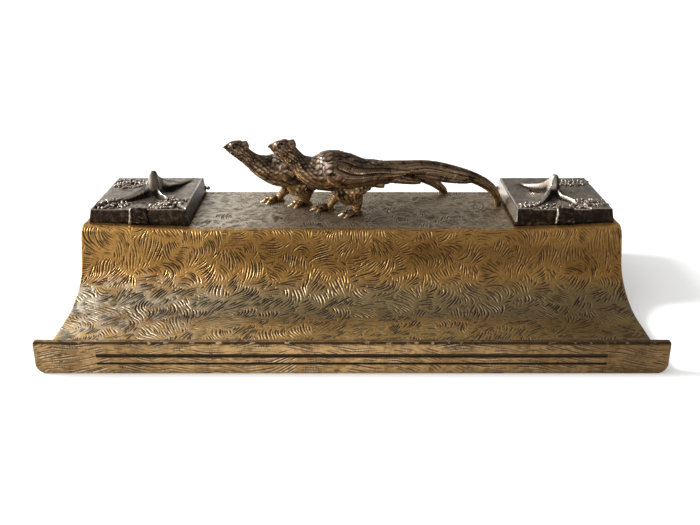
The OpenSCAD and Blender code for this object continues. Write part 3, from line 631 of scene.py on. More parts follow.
def engraved_bronze():
    """Golden brown patina, dark in the strokes, and bright on the burrs beside them, partly wear
    and partly painted glints. Greyer on the deck, olive in the sweep, browner on the lip. Painted
    light from the window: palest at the left, a painted highlight low on the front and a painted
    reflection on the deck, and painted shade towards the right. Each zone is bounded by
    places in metres: aside to the right, deep to the back, high above the desk."""
    f = Finish("engraved_bronze")
    groove, raised, grime = (f.attribute(name) for name in ("groove", "raised", "grime"))
    aside, deep, high = (f.axis(which) for which in range(3))
    cloud, grain, speck = f.noise(26, 4), f.noise(420, 3), f.noise(1500, 2)
    mottle = f.noise(120, 5, 0.65, 0.4)
    right, middle = aside.between(0.0, 0.15), aside.between(-0.14, -0.02)
    left = 1 - aside.between(-0.165, -0.05)

    colour = f.mix(cloud.between(0.35, 0.65), (0.46, 0.235, 0.062), (0.68, 0.37, 0.11))
    # Painted shade: from the middle to the right, away from the window, the front wall is darkened, and the
    # rest of that part slightly
    low_wall = (1 - high.between(0.036, 0.045)) * high.between(0.02, 0.034)
    colour = f.mix(middle * (low_wall * 0.4 + 0.02), colour, (0.05, 0.02, 0.004))
    inside = 1 - aside.math("ABSOLUTE").between(0.1055, 0.1068)
    # The deck's left end, where a painted reflection of the window lies
    silver = 1 - aside.between(-0.112, -0.015)
    deck = high.between(0.0445, 0.0460) * deep.between(0.0133, 0.0137) * inside
    colour = f.mix(deck, colour, f.mix(grain.between(0.3, 0.7), (0.36, 0.28, 0.18), (0.62, 0.5, 0.35)))
    floor = 1 - deep.between(-0.052, -0.036)
    olive = (1 - high.between(0.0115, 0.0205)) * (1 - floor)
    colour = f.mix(olive * 0.85, colour, (0.39, 0.3, 0.155))
    colour = f.mix(floor, colour, f.mix(cloud.between(0.3, 0.7), (0.66, 0.425, 0.155), (0.9, 0.6, 0.24)))
    # Painted light from the window at the left: a painted highlight low on the sweep and tray, and the
    # painted reflection on the deck
    pale = left * (1 - high.between(0.009, 0.024)) * mottle.between(0.42, 0.58)
    colour = f.mix(pale * 0.85 + silver * deck * 0.85, colour, (0.97, 0.86, 0.7))
    # Painted shade: the tray most, the lower sweep less and the rest slightly darken to the right, away from
    # the window
    colour = f.mix(right * (floor * 0.56 + olive * 0.22 + 0.05), colour, (0.03, 0.012, 0.003))
    lip = 1 - deep.between(-0.0915, -0.0895)
    lip_colour = f.mix(mottle.between(0.36, 0.6), (0.29, 0.175, 0.072), (0.5, 0.32, 0.14))
    # The lip is darkened at the right, painted shade away from the window, and a little at the left
    lip_colour = f.mix(right * 0.68 + left * 0.22, lip_colour, (0.03, 0.014, 0.004))
    colour = f.mix(lip, colour, lip_colour)
    dirty = grime * (1 - mottle.between(0.42, 0.62)) * (1 - lip * 0.6)
    colour = f.mix(dirty * 0.7, colour, (0.05, 0.026, 0.01))
    colour = f.mix((1 - grain.between(0.3, 0.5)) * 0.35, colour, (0.06, 0.032, 0.012))

    # Burrs, the edge line and nicks are drawn bright: partly wear, partly painted glints, near white on deck,
    # sweep and tray, and fading to the right, away from the window
    shine = f.mix((deck + olive + floor * 0.6).clamp(), (1.0, 0.68, 0.3), (1.0, 0.9, 0.7))
    bright = (raised * 2.1 - 0.3).clamp() * grain.between(0.3, 0.6) * (1 - right * 0.75)
    colour = f.mix(bright * 0.95, colour, shine)
    colour = f.mix((groove * 1.6).clamp(), colour, (0.042, 0.021, 0.008))
    rough = 0.33 - bright * 0.12 + groove * 0.3 + speck.between(0.3, 0.8) * 0.14
    metal = 0.95 - groove * 0.3
    relief = f.bump(grain * 0.6 + speck * 0.4, 0.0003, 0.8)
    return f.surface(Base_Color=colour, Roughness=rough, Metallic=metal, Normal=relief)


build_base(engraved_bronze())


# Pheasants
# Two bronze birds, cast apart and chased by hand: small round feathers on head, neck
# and body, long blades on wings and tail. Their high spots are rubbed golden. Each
# stands on two feet, held by studs from under the deck.
from mathutils.kdtree import KDTree

# The finest detail of the casting, and the spacing of a loft's rings
BIRD_VOXEL, LOFT_STEP = 0.4, 0.34
# Each toe's way in degrees from straight ahead, and its length
TOES = ((-32, 10.6), (0, 12.4), (32, 10.6), (176, 5.6))
# Length of the trunk's feathers at these distances from the beak
TRUNK_FEATHERS = ((0, 8, 20, 34, 60, 110), (1.3, 1.6, 2.2, 3.0, 4.2, 5.8))


def along(rows, u):
    """Places on the smooth curve through the rows: back, right, up, half height, half width."""
    rows = np.asarray(rows, float)
    last = len(rows) - 1
    i = np.minimum((u * last).astype(int), last - 1)
    t = (u * last - i)[:, None]
    a, b, c, d = (rows[np.clip(i + k, 0, last)] for k in (-1, 0, 1, 2))
    bend, twist = 2 * a - 5 * b + 4 * c - d, 3 * b - a - 3 * c + d
    return 0.5 * (2 * b + (c - a) * t + bend * t * t + twist * t ** 3)


class Loft:
    """A closed tapering body along a curve. dress() gives, for each place on it, how far
    the relief stands out, how much it is rubbed and how deep in a hollow it lies."""

    def __init__(self, rows, dress, side=1):
        even = np.linspace(0, 1, 200)
        middle = along(rows, even)
        length = np.concatenate([[0], np.cumsum(np.linalg.norm(np.diff(middle[:, :3], axis=0), axis=1))])
        rings = max(8, int(length[-1] / LOFT_STEP))
        sides = max(12, int(2 * math.pi * middle[:, 3:].max() / LOFT_STEP))
        u = np.interp(np.linspace(0, length[-1], rings + 1), length, even)
        spots = along(rows, u)
        middle, half = spots[:, None, :3], np.maximum(spots[:, 3:], 0.2)
        run = np.gradient(spots[:, :3], axis=0)
        up = np.cross(run, (0, 1, 0))
        up /= np.linalg.norm(up, axis=1, keepdims=True)
        aside = np.cross(up, run / np.linalg.norm(run, axis=1, keepdims=True))
        turn = np.arange(sides) * 2 * math.pi / sides
        ring = (up[:, None] * half[:, :1, None] * np.cos(turn)[None, :, None]
                + aside[:, None] * half[:, 1:, None] * np.sin(turn)[None, :, None])
        self.length = length[-1]
        self.u, self.turn = np.meshgrid(u, turn, indexing="ij")
        self.reach = np.interp(self.u, even, length)
        self.girth = 2 * math.pi * np.broadcast_to(half.mean(1)[:, None], self.u.shape)
        lift, self.rubbed, self.hollow = dress(self)
        self.points = middle + ring * (1 + lift[..., None] / np.linalg.norm(ring, axis=2, keepdims=True))
        self.points[..., 1] *= side

    def faces(self, first):
        rings, sides = self.u.shape
        at = first + np.arange(rings * sides).reshape(rings, sides)
        after = np.roll(at, -1, 1)
        quads = np.stack([at[:-1], after[:-1], after[1:], at[1:]], -1).reshape(-1, 4)
        return quads.tolist() + [at[0][::-1].tolist(), at[-1].tolist()]


def feathers(size, lift=0.5, overlap=1.7):
    """Small round feathers that overlap like tiles, their tips to the back. size() gives
    a feather's length for a distance along the body."""
    def dress(loft):
        knots = np.linspace(0, loft.length, 300)
        tiles = np.concatenate([[0], np.cumsum(np.diff(knots) / size(knots[1:]))])
        row = np.interp(loft.reach, knots, tiles)
        height = np.zeros_like(row)
        for k in (0, 1):
            tile = np.floor(row) - k
            start = np.interp(tile, tiles, knots)
            girth = np.interp(start, loft.reach[:, 0], loft.girth[:, 0])
            around = np.maximum(4, np.round(girth / size(start)))
            t = (row - tile) / overlap
            jog = 0.5 * (tile % 2) + 0.13 * np.sin(tile * 7.1)
            sway = 0.22 * np.sin(3 * loft.turn + loft.reach * 0.5)
            place = loft.turn / (2 * math.pi) * around + jog + sway
            across = place % 1 - 0.5
            own_way = np.sin(tile * 12.99 + np.floor(place) * 78.2) * 43758.5 % 1
            t = t * (1.12 - 0.3 * own_way)
            width = 0.56 * np.sqrt(np.clip(1 - np.clip((t - 0.25) / 0.75, 0, 1) ** 2, 0, 1))
            rim = width - np.abs(across + 0.25 * (own_way - 0.5) * t)
            own = (0.1 + 0.9 * t ** 1.2) * np.clip(rim / 0.12, 0, 1) * (t < 1) * (0.62 + 0.38 * own_way)
            quill = 0.14 * np.exp(-(across / 0.07) ** 2) * np.clip(t * 2, 0, 1)
            barbs = 0.08 * np.sin((across * 6 - t * 3 * np.sign(across)) * 2 * math.pi)
            height = np.maximum(height, own + (own > 0) * (quill + barbs) * np.clip(rim / 0.2, 0, 1))
        return lift * (height - 0.45), np.clip(height * 1.25 - 0.35, 0, 1), np.clip(1 - 2.4 * height, 0, 1)
    return dress


def blades(count, lift=0.5, twist=0.0, steps=3.2):
    """Long feathers side by side: a quill, slanting barbs, and an edge over the next one."""
    def dress(loft):
        sway = 0.2 * np.sin(loft.reach * 0.16 + loft.turn)
        place = loft.turn / (2 * math.pi) * count + twist * loft.u + sway
        blade, across = np.floor(place), place % 1
        reach = (loft.u * steps + 0.37 * np.sin(blade * 12.99)) % 1
        tip = np.clip((1 - reach) / 0.06 - 6 * (across - 0.5) ** 2, 0, 1)
        barbs = 0.15 * np.sin((loft.reach * 0.66 + np.abs(across - 0.45) * 2.4) * 2 * math.pi)
        quill = 0.3 * np.exp(-((across - 0.45) / 0.06) ** 2)
        height = (0.25 + 0.75 * across ** 0.8) * (0.55 + 0.45 * tip) + barbs * (across > 0.08) + quill
        hollow = np.clip(1 - 4.5 * across, 0, 1)
        return lift * (height - 0.55), np.clip(height * 1.3 - 0.7, 0, 1), hollow
    return dress


def blend(near, far, start, over):
    """One relief up to a share of the length, and another from there on."""
    def dress(loft):
        share = np.clip((loft.u - start) / over, 0, 1)
        return tuple(a * (1 - share) + b * share for a, b in zip(near(loft), far(loft)))
    return dress


def scutes(loft):
    """Rings of horn on shanks and toes."""
    wave = np.abs(np.sin(loft.reach * math.pi / 1.2))
    return 0.17 * (wave - 0.5), 0.35 + 0.6 * wave * loft.u, np.clip(1 - 3 * wave, 0, 1)


def smooth(rubbed, hollow):
    """No relief, and the same wear and depth all over."""
    return lambda loft: (0 * loft.u, 0 * loft.u + rubbed, 0 * loft.u + hollow)


# The second is drawn all bright, a painted highlight, and the third all black, a painted shadow
PLAIN, PAINTED_HIGHLIGHT, PAINTED_SHADOW = smooth(0.35, 0), smooth(1.0, 0), smooth(0, 1.0)


def boss(x, y, z, r, wide):
    """Rows of a round boss of radius r that stands out sideways by a share of r."""
    halves = ((r * math.sin(a), r * math.cos(a)) for a in np.radians(np.linspace(-90, 90, 9)))
    return [[x + off, y, z, max(0.12, half), max(0.12, wide * half)] for off, half in halves]


def head_lofts(trunk, tuft):
    """Beak with its upper and lower halves, the cere, eyes in their lids, cheeks, ear tufts."""
    tip, root, brow = (np.array(row[:3]) for row in trunk[:3])
    x, z = brow[0] + 0.4, brow[2] + 1.1
    yield Loft([[tip[0] - 0.5, 0, tip[2] - 1, 0.25, 0.25], [tip[0] + 1.2, 0, tip[2] + 0.2, 0.8, 0.7],
                [root[0] + 0.6, 0, root[2] + 0.7, 1.15, 1.2], [root[0] + 3, 0, root[2] + 1.2, 0.8, 1.0]],
               PLAIN)
    yield Loft([[tip[0] + 0.6, 0, tip[2] - 1.3, 0.25, 0.25], [root[0] + 0.4, 0, root[2] - 1.1, 0.6, 1.0],
                [root[0] + 3, 0, root[2] - 1.4, 0.6, 1.2]], PLAIN)
    cheek = feathers(lambda reach: 1.5 + 0 * reach, 0.4)
    back, out, up = tuft
    for side in (-1, 1):
        # A painted highlight on the cere, then painted shadow at the nostril and round the eye
        yield Loft(boss(root[0] + 2.2, 1.7, root[2] + 1.0, 1.3, 0.9), PAINTED_HIGHLIGHT, side)
        yield Loft(boss(root[0] + 4.0, 2.7, root[2] + 0.3, 1.2, 0.6), PAINTED_SHADOW, side)
        yield Loft(boss(x + 0.5, 3.5, z, 2.1, 0.4), PAINTED_SHADOW, side)
        yield Loft(boss(x + 0.5, 4.0, z, 1.0, 0.5), PLAIN, side)
        yield Loft(boss(x + 2.8, 3.2, z - 4.6, 3.2, 0.62), cheek, side)
        yield Loft([[back - 6, out - 0.9, up - 2.6, 2.3, 1.7], [back - 3, out - 0.2, up - 1.5, 2.4, 1.7],
                    [back - 0.6, out + 0.2, up - 0.6, 2.1, 1.3],
                    [back + 0.9, out + 0.5, up - 0.1, 1.3, 0.8]], blades(5, 0.5, 0, 1), side)


def foot_lofts(x, y):
    """Three thick toes in front and a short one behind, each with knuckles and a claw."""
    for degrees, reach in TOES:
        toe = Loft([[1.3, 0, 2.4, 2.6, 2.2], [-0.26 * reach, 0, 2.4, 2.5, 2.1],
                    [-0.46 * reach, 0, 1.7, 1.9, 1.6], [-0.66 * reach, 0, 1.5, 1.9, 1.75],
                    [-0.84 * reach, 0, 0.9, 1.1, 1.1], [-reach, 0, 0.4, 0.5, 0.6]], scutes)
        toe.rubbed = np.clip(2.2 * toe.u - 0.9, 0, 1.2)
        toe.hollow = np.clip(0.5 - toe.u, 0, 1)
        toe.points = turned(toe.points, degrees) + (x, y, 0)
        yield toe


def turned(points, degrees):
    """The points, turned about the upright axis."""
    c, s = math.cos(math.radians(degrees)), math.sin(math.radians(degrees))
    x, y, z = np.moveaxis(points, -1, 0)
    return np.stack([x * c - y * s, x * s + y * c, z], -1)


def bird_lofts(trunk, throat, tuft, wing, tail, plumes, legs, feet):
    yield Loft(trunk, feathers(lambda reach: np.interp(reach, *TRUNK_FEATHERS), 0.56))
    yield Loft(throat, feathers(lambda reach: 1.5 + 0.03 * reach, 0.45))
    yield from head_lofts(trunk, tuft)
    coverts = feathers(lambda reach: 2.5 + 0.05 * reach, 0.4)
    for side in (-1, 1):
        yield Loft(wing, blend(coverts, blades(8, 0.8, -1.2, 2), 0.27, 0.12), side)
    yield Loft(tail, blades(9, 0.7, 0.7))
    for rows in plumes:
        for side in (-1, 1):
            yield Loft(rows, blades(5, 0.66, 0.7), side)
    for rows in legs:
        yield Loft(rows, blend(feathers(lambda reach: 2.5 + 0 * reach, 0.42), scutes, 0.52, 0.1))
    for x, y in feet:
        yield from foot_lofts(x, y)


def fuse(name, lofts):
    """One closed mesh of all the lofts, its points, and their rubbed and hollow values, each
    the mean of the three nearest places on the lofts."""
    first, faces = 0, []
    for loft in lofts:
        faces += loft.faces(first)
        first += loft.u.size
    points = np.vstack([loft.points.reshape(-1, 3) for loft in lofts])
    values = np.vstack([np.stack([loft.rubbed, loft.hollow], -1).reshape(-1, 2) for loft in lofts])
    model = add_object(name + "_wax", new_mesh(name + "_wax", points, faces, unit=1))
    cast = model.modifiers.new("cast", "REMESH")
    cast.mode, cast.voxel_size = "VOXEL", BIRD_VOXEL
    mesh = bpy.data.meshes.new_from_object(model.evaluated_get(bpy.context.evaluated_depsgraph_get()))
    bpy.data.objects.remove(model)
    mesh.name = name
    co = np.zeros(3 * len(mesh.vertices))
    mesh.vertices.foreach_get("co", co)
    tree = KDTree(len(points))
    for n, point in enumerate(points):
        tree.insert(point, n)
    tree.balance()
    co = co.reshape(-1, 3)
    near = np.array([[hit[1] for hit in tree.find_n(p, 3)] for p in co])
    return mesh, co, values[near].mean(1)


def add_bird(node, at, degrees, **rows):
    """A bird that stands on the deck at a place, turned by some degrees."""
    mesh, co, values = fuse(node + "_chased", list(bird_lofts(**rows)))
    co[:, 2] = np.maximum(co[:, 2], 0)
    mesh.vertices.foreach_set("co", ((turned(co, degrees) + (*at, DECK)) * MM).ravel())
    mesh.update()
    add_values(mesh, rubbed=values[:, 0], hollow=values[:, 1])
    add_piece(mesh, BIRD_BRONZE, "base", [node])


# Where painted highlights lie on the birds' shoulders, as lit from the window, aside and high in metres
SHOULDER_HIGHLIGHTS = ((-0.0186, 0.083), (-0.0495, 0.083))


def rubbed_bronze():
    """Dark brown, black in the hollows, silver where rubbed most. The golden breast and belly
    are a painted reflection of the golden deck below, and the shoulders carry painted highlights.
    """
    f = Finish("rubbed_bronze")
    rubbed, hollow = f.attribute("rubbed"), f.attribute("hollow")
    cloud, grain = f.noise(60, 3), f.noise(900, 3)
    blotch = f.noise(150, 4, 0.6, 0.5)
    aside, high = f.axis("X"), f.axis("Z")
    # Painted reflection: the lower body is painted golden, for the golden deck seen in the bronze from below,
    # less so to the right
    low = (1 - high.between(0.056, 0.078)) * (1 - aside.between(0.015, 0.05) * 0.7)
    brown = f.mix(cloud.between(0.35, 0.65), (0.1, 0.062, 0.042), (0.24, 0.155, 0.1))
    golden = (low * blotch.between(0.38, 0.6) * 0.8).clamp()
    colour = f.mix(golden, brown, (0.4, 0.23, 0.075))
    colour = f.mix(1 - blotch.between(0.38, 0.48), colour, (0.014, 0.008, 0.005))
    colour = f.mix(blotch.between(0.6, 0.66) * rubbed.between(0.2, 0.5), colour, (0.95, 0.82, 0.64))
    worn = (rubbed * 1.7 - 0.5 + cloud * 0.3).clamp() * grain.between(0.3, 0.5)
    bare = f.mix(rubbed.between(0.8, 1.0), (0.66, 0.43, 0.22), (0.95, 0.88, 0.78))
    colour = f.mix(worn * 0.85, colour, bare)
    # Painted highlights on both birds' shoulders, on high spots only
    for x, z in SHOULDER_HIGHLIGHTS:
        off = ((aside - x) ** 2 + ((high - z) * 0.8) ** 2) ** 0.5
        shoulder = (1 - off.between(0.001, 0.0065)) * grain.between(0.3, 0.45) * rubbed.between(0.1, 0.5)
        colour = f.mix(shoulder * (1 - hollow * 0.8) * 0.85, colour, (0.96, 0.85, 0.72))
    colour = f.mix((hollow * 1.5).clamp(), colour, (0.006, 0.004, 0.003))
    rough = 0.32 - worn * 0.1 + hollow * 0.28
    return f.surface(Base_Color=colour, Roughness=rough, Metallic=0.92 - hollow * 0.4,
                     Normal=f.bump(grain, 0.00012, 0.6))


BIRD_BRONZE = rubbed_bronze()
# Stations of each body: back, right, up, half height and half width. Wings and plumes
# have a mirrored twin. The tuft is the tip of an ear tuft, and the feet are where they stand.
add_bird("near_pheasant", (5, 47), 9,
         trunk=[[-60.8, 0, 49.7, 0.3, 0.3], [-57.6, 0, 49.8, 1.8, 1.6], [-54, 0, 49.2, 4.2, 3.7],
                [-50, 0, 47.8, 6, 5], [-46, 0, 43.4, 5.8, 5], [-41.6, 0, 38, 6.4, 5.8],
                [-35.6, 0, 33, 8.8, 8.4], [-28, 0, 30.8, 12.2, 11.2], [-19, 0, 31, 14, 12.6],
                [-9, 0, 29.8, 13, 11.8], [2, 0, 28, 10.6, 9.4], [13, 0, 27.6, 8.8, 7],
                [24, 0, 28.4, 7.4, 5], [34, 0, 28.4, 6.4, 4]],
         throat=[[-59.2, 0, 47.8, 0.4, 0.4], [-56.6, 0, 45.6, 1.1, 1.2], [-53.6, 0, 43.2, 1.7, 1.9],
                 [-50, 0, 40.6, 2.1, 2.4], [-46, 0, 37.8, 2.4, 2.8], [-42, 0, 34.8, 2.2, 2.8]],
         tuft=[-43.6, 2.6, 51.4],
         wing=[[-27, 7.6, 32, 2.5, 1.2], [-24, 9.4, 32.5, 5.5, 2.6], [-20, 10.8, 32.5, 8, 3.4],
               [-12, 10.6, 31, 9.4, 3.2], [0, 8.4, 29, 8, 2.6], [14, 5.6, 28.6, 5.4, 2.2],
               [28, 3.4, 29, 3.6, 1.6], [40, 2.4, 29, 1, 0.8]],
         tail=[[10, 0, 30.4, 6, 5], [28, 0, 30.2, 5.8, 4.2], [48, 0, 29.2, 6, 3.4], [66, 0, 26.2, 4.6, 3],
               [81.4, 0, 21.2, 3.8, 2.6], [92, 0, 15, 3.3, 2.4], [98.1, 0, 7.8, 2.7, 2.2],
               [99.7, 0, -1, 2.2, 2]],
         plumes=[[[8, 3, 22.5, 2.6, 2], [13, 3.4, 20.6, 2, 1.8], [17, 3.4, 19.6, 1.2, 1.2]],
                 [[16, 2.4, 25.6, 3.4, 2.2], [28, 2.8, 23.6, 3, 2], [37, 2.8, 22, 2.2, 1.8],
                  [42.5, 2.6, 21, 1.2, 1]],
                 [[46, 2.4, 25.4, 2.6, 1.8], [58, 2.4, 23, 2.8, 1.8], [68, 1.9, 21, 2.3, 1.6],
                  [75, 1.5, 19.8, 1.7, 1.3], [79, 1.3, 19.2, 0.9, 0.8]]],
         legs=[[[-5.5, -5, 24, 14, 4.8], [-5.5, -5.4, 17, 12.5, 4.8], [-4.5, -5.6, 13, 9, 4.2],
                [-2.5, -5.6, 9, 4, 3.2], [-3, -5.4, 1.4, 2.7, 2.6]],
               [[-8, 5, 23, 9, 4.4], [-10, 6.4, 16, 8, 4], [-13, 7.8, 12, 5, 3.4],
                [-17, 8.8, 6.4, 2.7, 2.6], [-20.6, 9.4, 1.6, 2.4, 2.3]]],
         feet=[[-3, -5.4], [-20.6, 9.4]])
add_bird("far_pheasant", (-32, 67), 14,
         trunk=[[-56.6, 0, 45, 0.3, 0.3], [-53.6, 0, 45.5, 1.8, 1.6], [-50, 0, 45, 4, 3.6],
                [-46, 0, 43.2, 5.6, 4.9], [-42.4, 0, 38.8, 5.1, 4.6], [-37.4, 0, 34.2, 5.7, 5.2],
                [-30.8, 0, 30, 8, 7.6], [-23, 0, 27.4, 10.8, 10], [-14, 0, 25.6, 11.8, 11.2],
                [-4, 0, 24.8, 11, 10.8], [6, 0, 24.4, 9.4, 9], [16, 0, 24.6, 8, 6.8], [27, 0, 25, 6.6, 5],
                [37, 0, 24.8, 5.8, 4]],
         throat=[[-55, 0, 43.4, 0.4, 0.4], [-52.4, 0, 41.6, 1.1, 1.1], [-49.4, 0, 39.6, 1.5, 1.7],
                 [-46, 0, 37.2, 1.9, 2.2], [-42, 0, 34.4, 2.2, 2.5], [-38, 0, 31.6, 2, 2.4]],
         tuft=[-40.6, 2.4, 46.4],
         wing=[[-22, 7.4, 27.4, 2.5, 1.2], [-19, 8.8, 27.6, 5, 2.4], [-15, 9.8, 27.4, 7.2, 3],
               [-8, 9.8, 26.4, 8.4, 2.9], [4, 8, 25.4, 7.2, 2.4], [17, 5.4, 25.2, 5, 2.1],
               [30, 3.4, 25.4, 3.4, 1.6], [42, 2.4, 25, 1, 0.8]],
         tail=[[12, 0, 26.8, 5.8, 5], [30, 0, 26.2, 5.4, 4.2], [50, 0, 24, 5.3, 3.4], [68, 0, 20.2, 4.4, 3],
               [84, 0, 14.6, 3.7, 2.6], [95.6, 0, 8.8, 3.1, 2.3], [102.4, 0, 3, 2.6, 2],
               [104.4, 0, -1.6, 2.1, 1.8]],
         plumes=[[[18, 2.4, 22.8, 3.2, 2.2], [30, 2.8, 20.8, 2.8, 2], [39, 2.8, 19.4, 2.1, 1.7],
                  [44, 2.6, 18.6, 1.1, 1]],
                 [[48, 2.2, 21, 2.5, 1.7], [60, 2.2, 18, 2.6, 1.7], [69, 1.8, 15.4, 2.1, 1.5],
                  [75, 1.4, 13.6, 1.4, 1.2], [78.5, 1.2, 12.8, 0.8, 0.8]]],
         legs=[[[-2.5, -3.4, 22, 13, 5], [-2.5, -3.6, 16, 13, 5], [-2.5, -3.8, 11.5, 10.5, 4.6],
                [-2, -3.8, 8, 5.5, 3.6], [-2, -3.6, 1.4, 2.6, 2.5]],
               [[-7, 5, 21, 8.6, 4.4], [-9.4, 6.6, 15, 7, 4], [-12, 8.4, 10.5, 4.4, 3.2],
                [-16.4, 9.4, 5.6, 2.6, 2.5], [-19.4, 10, 1.6, 2.3, 2.3]]],
         feet=[[-2, -3.6], [-19.4, 10]])


# Lids
# Two cast bronze lids, hollow underneath, modelled as cloth that is pinched up into a
# small finial and falls away in folds. Sprigs lie in three of their corners, and a
# strap of the cloth runs over the front edge as a thumb tab.

# Middle of a lid, its foot, its top's edge and its inside; its width and depth, how far
# its sides lean in, its wall; the notch at the back for the hinge
LID_X, LID_Y, LID_Z, LID_TOP, LID_UNDER = 139.8, 54.7, 49.9, 58.7, 54.5
LID_W, LID_D, LID_LEAN, LID_WALL = 65.0, 73.7, 1.3, 2.6
NOTCH_HALF, NOTCH_H = 12.2, 1.5
# Half width, front and back of the top
TOP_HALF, TOP_FRONT, TOP_BACK = LID_W / 2 - LID_LEAN, LID_LEAN - LID_D / 2, LID_D / 2
# Spacing of the cloth's grid, and how many rings of points a lid's sides have
LID_STEP, SIDE_RINGS = 0.33, 8
# The cloth: the finial's radius, the depth of the bowl beside the back fold, and how far
# the cloth between the two front folds lies below the rest
FINIAL_R, BOWL_DEEP, LOWER = 3.9, 2.4, 1.9
# A fold's half width on its steep side, and on its gentle side: at the finial, and how
# much more at the fold's end
FOLD_STEEP, FOLD_GENTLE = 0.9, (2.4, 2.2)
# The cloth's own roughness, height and reach in grid steps
CREASES = ((0.16, 14), (0.06, 5))


def fold_line(x, y, lean, end):
    """Share of the way along a fold from the finial, and distance to the right of it."""
    dx, dy = end[0] - lean, end[1]
    share = np.clip((x * dx + y * dy) / (dx * dx + dy * dy), 0, 1)
    off = np.hypot(x - share * dx, y - share * dy)
    return share, np.where(x * dy - y * dx > 0, off, -off)


def drape(x, y, lean, tall, hem, folds, rng):
    """Height of the cloth over the lid's edge. lean is how far out the finial stands, tall
    its height, hem how high the upper cloth's hem is rolled, and folds gives the outer,
    inner and back fold: where it ends, its height and its curve."""
    x = x - lean
    r = np.hypot(x, y)
    crests, places = [], []
    for (end, high, power), side in zip(folds, (1, -1, -1)):
        share, off = fold_line(x, y, lean, end)
        off = off * side
        places.append((share, off))
        half = np.where(off > 0, FOLD_STEEP, FOLD_GENTLE[0] + FOLD_GENTLE[1] * share)
        crests.append(high * (1 - share) ** power * np.exp(-(off / half) ** 2))
    flare = 1.6 * np.exp(-(r / 6) ** 2)
    cloth = flare + np.maximum(np.maximum(crests[0], crests[1]), crests[2])
    # The lower cloth, between the two front folds, and the rolled hem of the upper one
    wedge = np.minimum(places[0][1], places[1][1])
    front = np.clip((r - 2.4) / 2.2, 0, 1)
    lower = front / (1 + np.exp(-(wedge - 0.4) / 0.26))
    cloth = cloth * (1 - 0.75 * lower) - LOWER * lower
    cloth = cloth + hem * front * np.exp(-((wedge + 0.45) / 0.5) ** 2) * (0.4 + 0.6 * np.clip(r / 14, 0, 1))
    # The bowl beside the back fold, and a shallow dent on the inner side
    share, off = places[2]
    bowl = np.exp(-(np.clip(off - 2, 0, None) / 12) ** 2) / (1 + np.exp(-(off - 0.9) / 0.35))
    cloth = cloth - BOWL_DEEP * bowl * np.sin(math.pi * np.clip(share, 0.02, 0.98)) ** 0.8 * (1 - lower)
    cloth = cloth - 0.8 * np.exp(-(np.hypot(x + lean - 13, y + 2) / 9) ** 3) * (1 - lower)
    cloth = cloth + sum(high * soft_noise(x.shape, reach, rng) for high, reach in CREASES)
    cloth = cloth + (0.035 + 0.02 * lower) * soft_noise(x.shape, 2, rng)
    # Everything sinks to the lid's edge, which is ragged and round, and rises to the finial
    rim = np.minimum(TOP_HALF - np.abs(x + lean), np.minimum(y - TOP_FRONT, TOP_BACK - y))
    pinch = 1 / (1 + (r / FINIAL_R) ** 6)
    cloth = (1 - pinch) * cloth * np.clip(rim / 2.4, 0, 1) ** 0.7
    ragged = 0.12 * soft_noise(x.shape, 3, rng) * np.clip(1 - rim / 1.5, 0, 1)
    return (tall - 0.14 * r * r) * pinch + cloth + ragged - 0.5 * np.clip(1 - rim / 0.7, 0, 1) ** 2


def lid_loop(rows, cols):
    """The grid's edge, once round: front, outer end, back, inner end."""
    at = np.arange(rows * cols).reshape(rows, cols)
    return np.concatenate([at[0, :-1], at[:-1, -1], at[-1, :0:-1], at[:0:-1, 0]])


def in_cluster(x, y, cluster):
    """Place in a cluster of flowers along its two axes, where 1 is its rim."""
    (cx, cy), (a, b), degrees = cluster[:3]
    turn = math.radians(degrees)
    dx, dy = x - cx, y - cy
    return (dx * math.cos(turn) + dy * math.sin(turn)) / a, (dy * math.cos(turn) - dx * math.sin(turn)) / b


def on_lid(points, side):
    """Puts points in place that are drawn about the lid's middle, its outer side at +x."""
    return points * (side, 1, 1) + (side * LID_X, LID_Y, 0)


